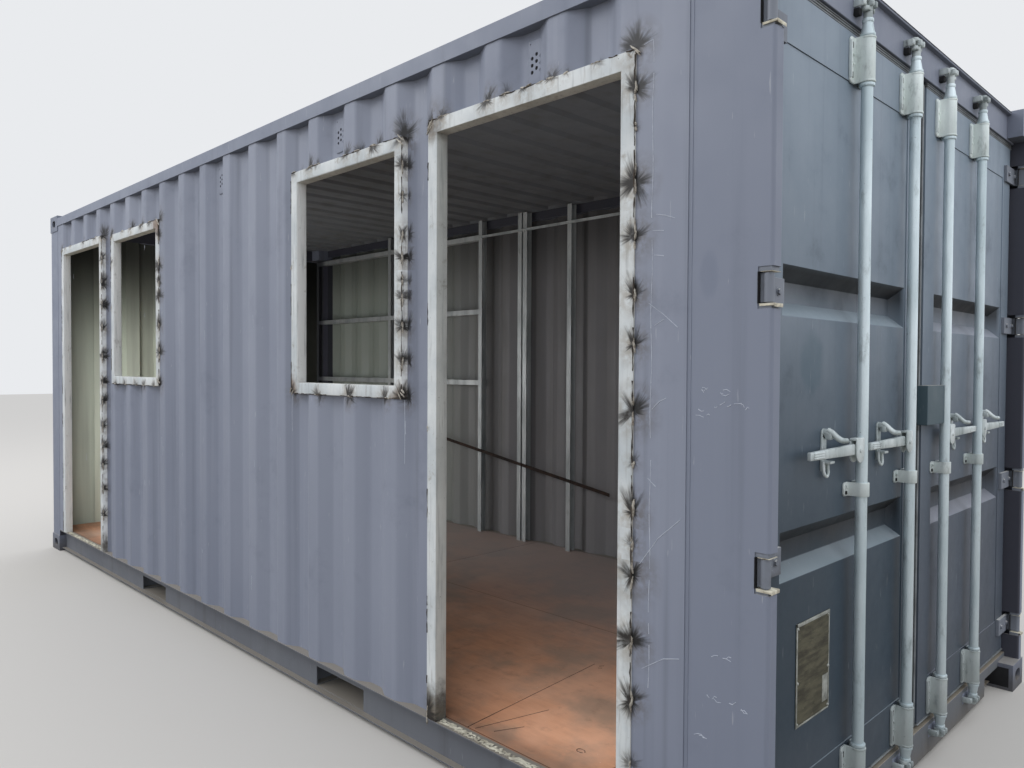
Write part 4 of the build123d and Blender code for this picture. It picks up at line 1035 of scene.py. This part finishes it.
def rod_pieces(y):
    """A lock rod with its collars, tapered necks and end knobs."""
    pieces = [bar((ROD_X, y, 164), (ROD_X, y, 2429), 17, sides=40)]
    for z0, z1 in ((155, 164), (302, 312), (2281, 2291), (2429, 2438)):
        pieces.append(bar((ROD_X, y, z0), (ROD_X, y, z1), COLLAR, sides=40, edge=1.8))
    for top, foot, tip, ring in ((2436, 2472, 2482, 1), (156, 122, 112, -1)):
        pieces.append(bar((ROD_X, y, top), (ROD_X, y, foot), 20, 14, sides=32))
        pieces.append(bar((ROD_X, y, foot - 2 * ring), (ROD_X, y, tip), 16.5, sides=32, edge=2.4))
    return pieces


def handle_pieces(y, side):
    """A clevis hub with its pin, and the tapered handle with its ribbed grip."""
    def out(reach):
        return y + side * reach

    hub = HANDLE_LEVEL
    pieces = []
    for x in (2985, 3004):
        pieces.append(slab(x, x + 5, out(17), out(72), hub - 14, hub + 29, 1.2))
        pieces.append(bar((x, out(44.5), hub - 13), (x + 5, out(44.5), hub - 13), 27.5, sides=32, edge=1.2))
    pieces.append(slab(2985, 3009, out(15), out(73), hub + 25, hub + 33, 3.4))
    pieces.append(slab(2984, 3002, out(8), out(24), hub - 30, hub + 26, 3))
    pieces.append(bar((2984, out(46), hub - 4), (3012, out(46), hub - 4), 7, sides=20, edge=1.6))
    handle = slab(2991, 3003, out(26), out(362), hub - 17, hub + 17)
    reshape(handle, lambda spot: abs(spot.y * 1000 - y) > 200,
            lambda: bpy.ops.transform.resize(value=(1, 1, 0.66), center_override=mm(ROD_X, y, hub)))
    pieces.append(soften(handle, 2.6))
    pieces.append(slab(2989.5, 3004.5, out(274), out(353), hub - 10, hub + 10, 3.5))
    for lift in (-6.5, 0, 6.5):
        pieces.append(slab(3002, 3006.2, out(280), out(347), hub + lift - 2, hub + lift + 2, 1.3))
    return pieces


def cam_pieces(y, side):
    """The forked cams at both ends of a rod."""
    x = ROD_X
    pieces = []
    for level, up in zip(KEEPER_LEVELS, (-1, 1)):
        pieces.append(bar((x, y, level - up * 42), (x, y, level + up * 20), 13, edge=2))
        pieces.append(slab(x - 17, x + 12, y - 15, y + 15, level - 12, level + 14, 5))
        for lift in (-20, 7):
            foot, top = level + lift, level + lift + 13
            pieces.append(slab(x - 13, x + 13, y, y + side * 20, foot, top, 4))
            pieces.append(bar((x, y + side * 17, foot), (x, y + side * 17, top), 13, edge=3))
        for claw in (-1, 1):
            pieces.append(slab(x + 6, x + 22, y + claw * 5, y + claw * 19, level - 8, level + 12, 4))
    return pieces


class CABIN_OT_lock_rods(bpy.types.Operator):
    """Lock rods with collars and tapered necks, clevis hubs with their pins, handles and forked cams"""
    bl_idname = "cabin.lock_rods"
    bl_label = "Lock rods"

    def execute(self, context):
        for node in ("left_outer_lock_rod", "left_inner_lock_rod", "right_inner_lock_rod", "right_outer_lock_rod"):
            low, high = node_box(node)
            side = -1 if node.startswith("left") else 1
            y = high[1] - COLLAR if side < 0 else low[1] + COLLAR
            rod = dress(join(rod_pieces(y)), node + "_dressed", "rod_zinc", node)
            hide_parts(node)
            dress(join(handle_pieces(y, side)), node + "_handle", "worn_zinc", node)
            dress(join(cam_pieces(y, side)), node + "_cams", "cam_zinc", node)
        return {"FINISHED"}


class CABIN_OT_lock_brackets(bpy.types.Operator):
    """Pressed brackets with slots and bolts, the lower guides, the keepers for the cams and the hinge lugs"""
    bl_idname = "cabin.lock_brackets"
    bl_label = "Brackets and keepers"

    def execute(self, context):
        head = context.scene.cabin_sizes.bolt
        for node, rods in (("left_rod_brackets", ROD_YS[:2]), ("right_rod_brackets", ROD_YS[2:])):
            rounded_copy(node, 2.2, "gear_zinc", segments=3)
            bolts = []
            slots = []
            for y in rods:
                for level in BRACKET_LEVELS:
                    for side in (-1, 1):
                        edge = (y + side * 47, y + side * 53)
                        bolts.append(slab(2960.5, 2971, *edge, level - 56, level + 56, 2.4))
                        for lift in (-44, 44):
                            # Painted shade: thin dark sheets stand for the slots in the brackets' flanges
                            slots.append(slab(2966, 2966.5, y + side * 37 - 4, y + side * 37 + 4, level + lift - 9,
                                              level + lift + 9, 0.1))
                        for lift in (-13, 15):
                            bolts.append(bolt(2966, y + side * 37, level + lift, head * 0.7, 4))
                    for end in (-67, 61):
                        collar = level + end
                        bolts.append(bar((ROD_X, y, collar), (ROD_X, y, collar + 6), 24, sides=40, edge=1.5))
                for side in (-38, 38):
                    bolts.append(bolt(2963, y + side, 1089, head * 0.7, 4))
                    slots.append(slab(2963, 2966.5, y + side - 4, y + side + 4, 1066, 1076, 0.1))
            dress(join(bolts), node.replace("brackets", "bracket_bolts"), "gear_zinc", node)
            dress(join(slots), node.replace("brackets", "bracket_slot_shade"), "recess_shade", node)
        feet = []
        ears = []
        shade_sheets = []
        for y in ROD_YS:
            for level in KEEPER_LEVELS:
                feet.append(slab(2965, 2968.5, y - 46, y + 46, level - 23, level + 23, 1.5))
                for ear in (-46, 36):
                    ears.append(slab(2966, 2998, y + ear, y + ear + 10, level - 11, level + 13, 4.5))
                    ears.append(slab(2990, 3001, y + ear, y + ear + (22 if ear < 0 else -12), level - 9,
                                     level + 11, 4))
                # Painted shade: a dark block under the left ear of each upper keeper
                if level == KEEPER_LEVELS[1]:
                    shade_sheets.append(slab(2966, 2986, y - 44, y - 22, level - 34, level - 13, 3))
        keeper = dress(join(feet), "lock_keepers_dressed", "posts", "lock_keepers")
        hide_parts("lock_keepers")
        dress(join(ears), "keeper_ears", "cam_zinc", "lock_keepers")
        dress(join(shade_sheets), "keeper_hollow_shade", "recess_shade", "lock_keepers")
        rounded_copy("door_hinge_pins", 1.2, "hinges")
        worn = []
        for level in HINGE_LEVELS:
            for side in (-1, 1):
                edge = (side * 1172, side * 1215.6)
                worn.append(slab(2988, 3029.7, *edge, level - 39.8, level - 38.9, 0.3))
                worn.append(slab(3029.2, 3029.8, *edge, level - 48, level - 39.2, 0.2))
                worn.append(slab(2990, 3029, side * 1214.9, side * 1215.7, level - 45, level - 39, 0.2))
                worn.append(slab(2992, 3024, *edge, level + 38.4, level + 39.4, 0.3))
        dress(join(worn), "worn_lug_edges", "cut_edge", "door_end_posts")
        return {"FINISHED"}


def catch_pieces(y):
    """A catch: its back plate and boss, the hooked arm over the handle, and the eyed ledge under it."""
    pieces = [slab(2957, 2963, y - 15, y + 15, 1150, 1258, 2),
              bar((2957, y, 1257), (2963, y, 1257), 15, sides=32, edge=2),
              bar((2962, y, 1260), (2978, y, 1260), 12, 10, edge=2),
              bar((2976, y, 1260), (2984, y, 1260), 7, sides=16, edge=1.5)]
    for shift in (-4, 4):
        pieces.append(rod_bend([(2972, y + shift, 1268), (2982, y + 3 + shift, 1262), (2994, y + 10 + shift, 1247),
                                (3006, y + 18 + shift, 1238), (3014, y + 26 + shift * 2.2, 1238)], 7.4))
    pieces.append(slab(2966, 2986, y - 9, y + 10, 1240, 1262, 5))
    pieces.append(slab(2960, 2988, y - 15, y + 15, 1172, 1180, 2.5))
    pieces.append(rod_bend([(2966, y - 14, 1178), (2967, y - 16, 1158), (2969, y - 14, 1142), (2971, y, 1132),
                            (2969, y + 14, 1142), (2967, y + 16, 1158), (2966, y + 14, 1178)], 4.6))
    return pieces


class CABIN_OT_handle_catches(bpy.types.Operator):
    """Catches with a hooked arm over the handle and an eyed ledge under it"""
    bl_idname = "cabin.handle_catches"
    bl_label = "Handle catches"

    def execute(self, context):
        for node, places in (("left_handle_catches", (-776, -368)), ("right_handle_catches", (368, 776))):
            pieces = [piece for y in places for piece in catch_pieces(y)]
            catch = dress(join(pieces), node + "_dressed", "worn_zinc", node)
            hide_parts(node)
        return {"FINISHED"}


class CABIN_OT_seals(bpy.types.Operator):
    """Rubber seals round the leaves, each with two lips"""
    bl_idname = "cabin.seals"
    bl_label = "Door seals"

    def execute(self, context):
        for node, side in (("left_door_seal", -1), ("right_door_seal", 1)):
            rounded_copy(node, 3.0, "rubber")
            lips = []
            for z0, z1 in ((SEAL_FOOT, 155), (2442, 2447), (2450, 2455), (2458, 2462)):
                lips.append(slab(2950, 2962, side * 36, side * 1160, z0, z1, 2))
            lips.append(slab(2950, 2956, side * 1148, side * 1160, SEAL_FOOT, SEAL_TOP, 2))
            if side > 0:
                lips.append(slab(2950, 2956, -22, -14, SEAL_FOOT, SEAL_TOP, 2))
                lips.append(slab(2950, 2956, 14, 26, SEAL_FOOT, SEAL_TOP, 2))
            dress(join(lips), node + "_lips", "seal_edge", node)
        return {"FINISHED"}


class CABIN_OT_fittings(bpy.types.Operator):
    """Ventilator covers, the bare plate with its rim and rivets, and torn edges at the thresholds"""
    bl_idname = "cabin.fittings"
    bl_label = "Fittings"

    def execute(self, context):
        covers = []
        holes = []
        low, high = node_box("ventilators")
        for centre in VENT_XS:
            covers.append(vent_cover(centre, low, high))
            # Painted shade: a dark sheet behind each cover's holes
            holes.append(slab(centre - VENT_HALF + 6, centre + VENT_HALF - 6, low[1] + 2.6, low[1] + 3.2, low[2] + 6,
                              high[2] - 20, 0.2))
        vents = dress(join(covers), "ventilator_covers", "vent", "ventilators")
        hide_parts("ventilators")
        dress(join(holes), "ventilator_hole_shade", "recess_shade", "ventilators")
        low, high = node_box("data_plate")
        dress(join(plate_rim(low, high)), "data_plate_rim", "plate_edge", "data_plate")
        for seed, name in enumerate(("near_doorway", "far_doorway")):
            low, high = node_box(name + "_frame")
            strip = torn_strip(low[0], high[0], seed)
            dress(strip, name + "_torn_edge", "cut_edge", name + "_frame", smooth=20)
        track = [slab(-640, 2560, 1096, 1101, 2446, 2450, 1), slab(-640, 2560, 1096, 1101, 2431, 2434, 1),
                 slab(-640, 2560, 1100, 1102, 2431, 2450, 0.5)]
        dress(join(track), "stud_top_track", "stud_zinc", "stud_rails")
        return {"FINISHED"}


class CABIN_OT_marks(bpy.types.Operator):
    """Scribed and chalked lines on the wall, the seam beside the post, and scored lines on the floor"""
    bl_idname = "cabin.marks"
    bl_label = "Scribed marks"

    def execute(self, context):
        chance = random.Random(11)
        chalk = []
        line = [(2672 + 2.0 * math.sin(i * 0.7), LINE_Y, 2331 - i * 30) for i in range(60)]
        for i in range(59):
            if chance.random() < 0.86:
                chalk.append(line[i:i + 2])
        for points in (((2684, 1859), (2715, 1852), (2745, 1841)), ((2674, 1816), (2710, 1812)),
                       ((2680, 1749), (2711, 1744)), ((2662, 1620), (2710, 1588), (2756, 1551)),
                       ((2682, 1558), (2713, 1574)), ((2640, 900), (2700, 980), (2770, 1040)),
                       ((2650, 610), (2720, 655), (2770, 668)), ((2672, 2331), (2640, 2326)),
                       ((2676, 1330), (2700, 1352), (2722, 1362)), ((2664, 1140), (2690, 1120))):
            chalk.append([(x, LINE_Y, z) for x, z in points])
        for x, z in ((2850, 1392), (2905, 1378), (2880, 1352), (2940, 1345), (2835, 1330), (2868, 600), (2945, 588),
                     (2890, 700), (2840, 480)):
            for _ in range(3):
                a = (x + chance.uniform(-26, 26), z + chance.uniform(-10, 10))
                b = (a[0] + chance.uniform(6, 24), a[1] + chance.uniform(-9, 9))
                chalk.append([(a[0], POST_LINE_Y, a[1]),
                              ((a[0] + b[0]) / 2, POST_LINE_Y, (a[1] + b[1]) / 2 + chance.uniform(-5, 5)),
                              (b[0], POST_LINE_Y, b[1])])
        for x, top, bottom in ((728, 1312, 1150), (1562, 1318, 1080), (1568, 1240, 1190)):
            chalk.append([(x, LINE_Y, top), (x + chance.uniform(-3, 3), LINE_Y, (top + bottom) / 2),
                          (x, LINE_Y, bottom)])
        for _ in range(16):
            x = FIRST_TROUGH + PITCH * chance.choice((1, 2, 6, 7, 8, 9, 10, 11)) + chance.uniform(12, 60)
            z = chance.uniform(400, 2200)
            chalk.append([(x, LINE_Y, z), (x + chance.uniform(-6, 6), LINE_Y, z - chance.uniform(20, 90))])
        dress(strokes(chalk, 0.8), "scribed_lines", "chalk", "front_wall_top")
        scores = [[(1861, -1159), (1850, -1030), (1828, -760), (1796, -373)], [(1888, -1147), (1967, -850)],
                  [(1951, -1116), (2000, -1014)], [(1835, -400), (1848, -388)], [(1826, -380), (1838, -362)],
                  [(2254 + 16 * math.cos(i * 0.52), -1004 + 11 * math.sin(i * 0.52)) for i in range(12)]]
        dress(strokes([[(x, y, 166.2) for x, y in line] for line in scores], 1.3), "floor_scores",
              "dark_line", "floor_boards")
        seam = [[(2797.5, -1214.6, z) for z in range(180, 2440, 60)]]
        dress(strokes(seam, 2.4, vary=0.25), "post_seam", "posts", "door_end_posts")
        return {"FINISHED"}


class CABIN_OT_finishes(bpy.types.Operator):
    """Finishes for the CAD pieces that keep their own shape"""
    bl_idname = "cabin.finishes"
    bl_label = "Finishes"

    def execute(self, context):
        by_slot = {"frame_paint": "posts", "wall_paint": "roof", "rail_paint": "rails", "opening_frame": "tube",
                   "door_paint": "left_door", "lock_gear": "gear_zinc", "stud_steel": "stud_zinc",
                   "rusty_bar": "rusty", "seal_rubber": "rubber", "floor_wood": "plywood", "plate_metal": "plate",
                   "vent_plastic": "vent"}
        for node, slot in SLOTS.items():
            coated(bpy.data.objects[node], by_slot[slot])
        return {"FINISHED"}


class CABIN_PT_panel(bpy.types.Panel):
    """Lists the cabin's pieces"""
    bl_idname = "CABIN_PT_panel"
    bl_label = "Container cabin"
    bl_space_type = "VIEW_3D"
    bl_region_type = "UI"
    bl_category = "Cabin"

    def draw(self, context):
        sizes = context.scene.cabin_sizes
        for name in ("edge", "bend", "bead", "bolt", "wall"):
            self.layout.prop(sizes, name)
        for operator in OPERATORS:
            self.layout.operator(operator.bl_idname)


OPERATORS = (CABIN_OT_stage, CABIN_OT_finishes, CABIN_OT_steelwork, CABIN_OT_walls, CABIN_OT_opening_frames,
             CABIN_OT_weld_beads, CABIN_OT_lock_rods, CABIN_OT_lock_brackets, CABIN_OT_handle_catches,
             CABIN_OT_seals, CABIN_OT_fittings, CABIN_OT_marks)


def register():
    for kind in (CabinSizes, *OPERATORS, CABIN_PT_panel):
        bpy.utils.register_class(kind)
    bpy.types.Scene.cabin_sizes = bpy.props.PointerProperty(type=CabinSizes)


def unregister():
    del bpy.types.Scene.cabin_sizes
    for kind in (CABIN_PT_panel, *reversed(OPERATORS), CabinSizes):
        bpy.utils.unregister_class(kind)


def main():
    register()
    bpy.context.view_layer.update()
    for step in ("stage", "finishes", "steelwork", "walls", "opening_frames", "weld_beads", "lock_rods",
                 "lock_brackets", "handle_catches", "seals", "fittings", "marks"):
        getattr(bpy.ops.cabin, step)()


if __name__ == "__main__":
    main()
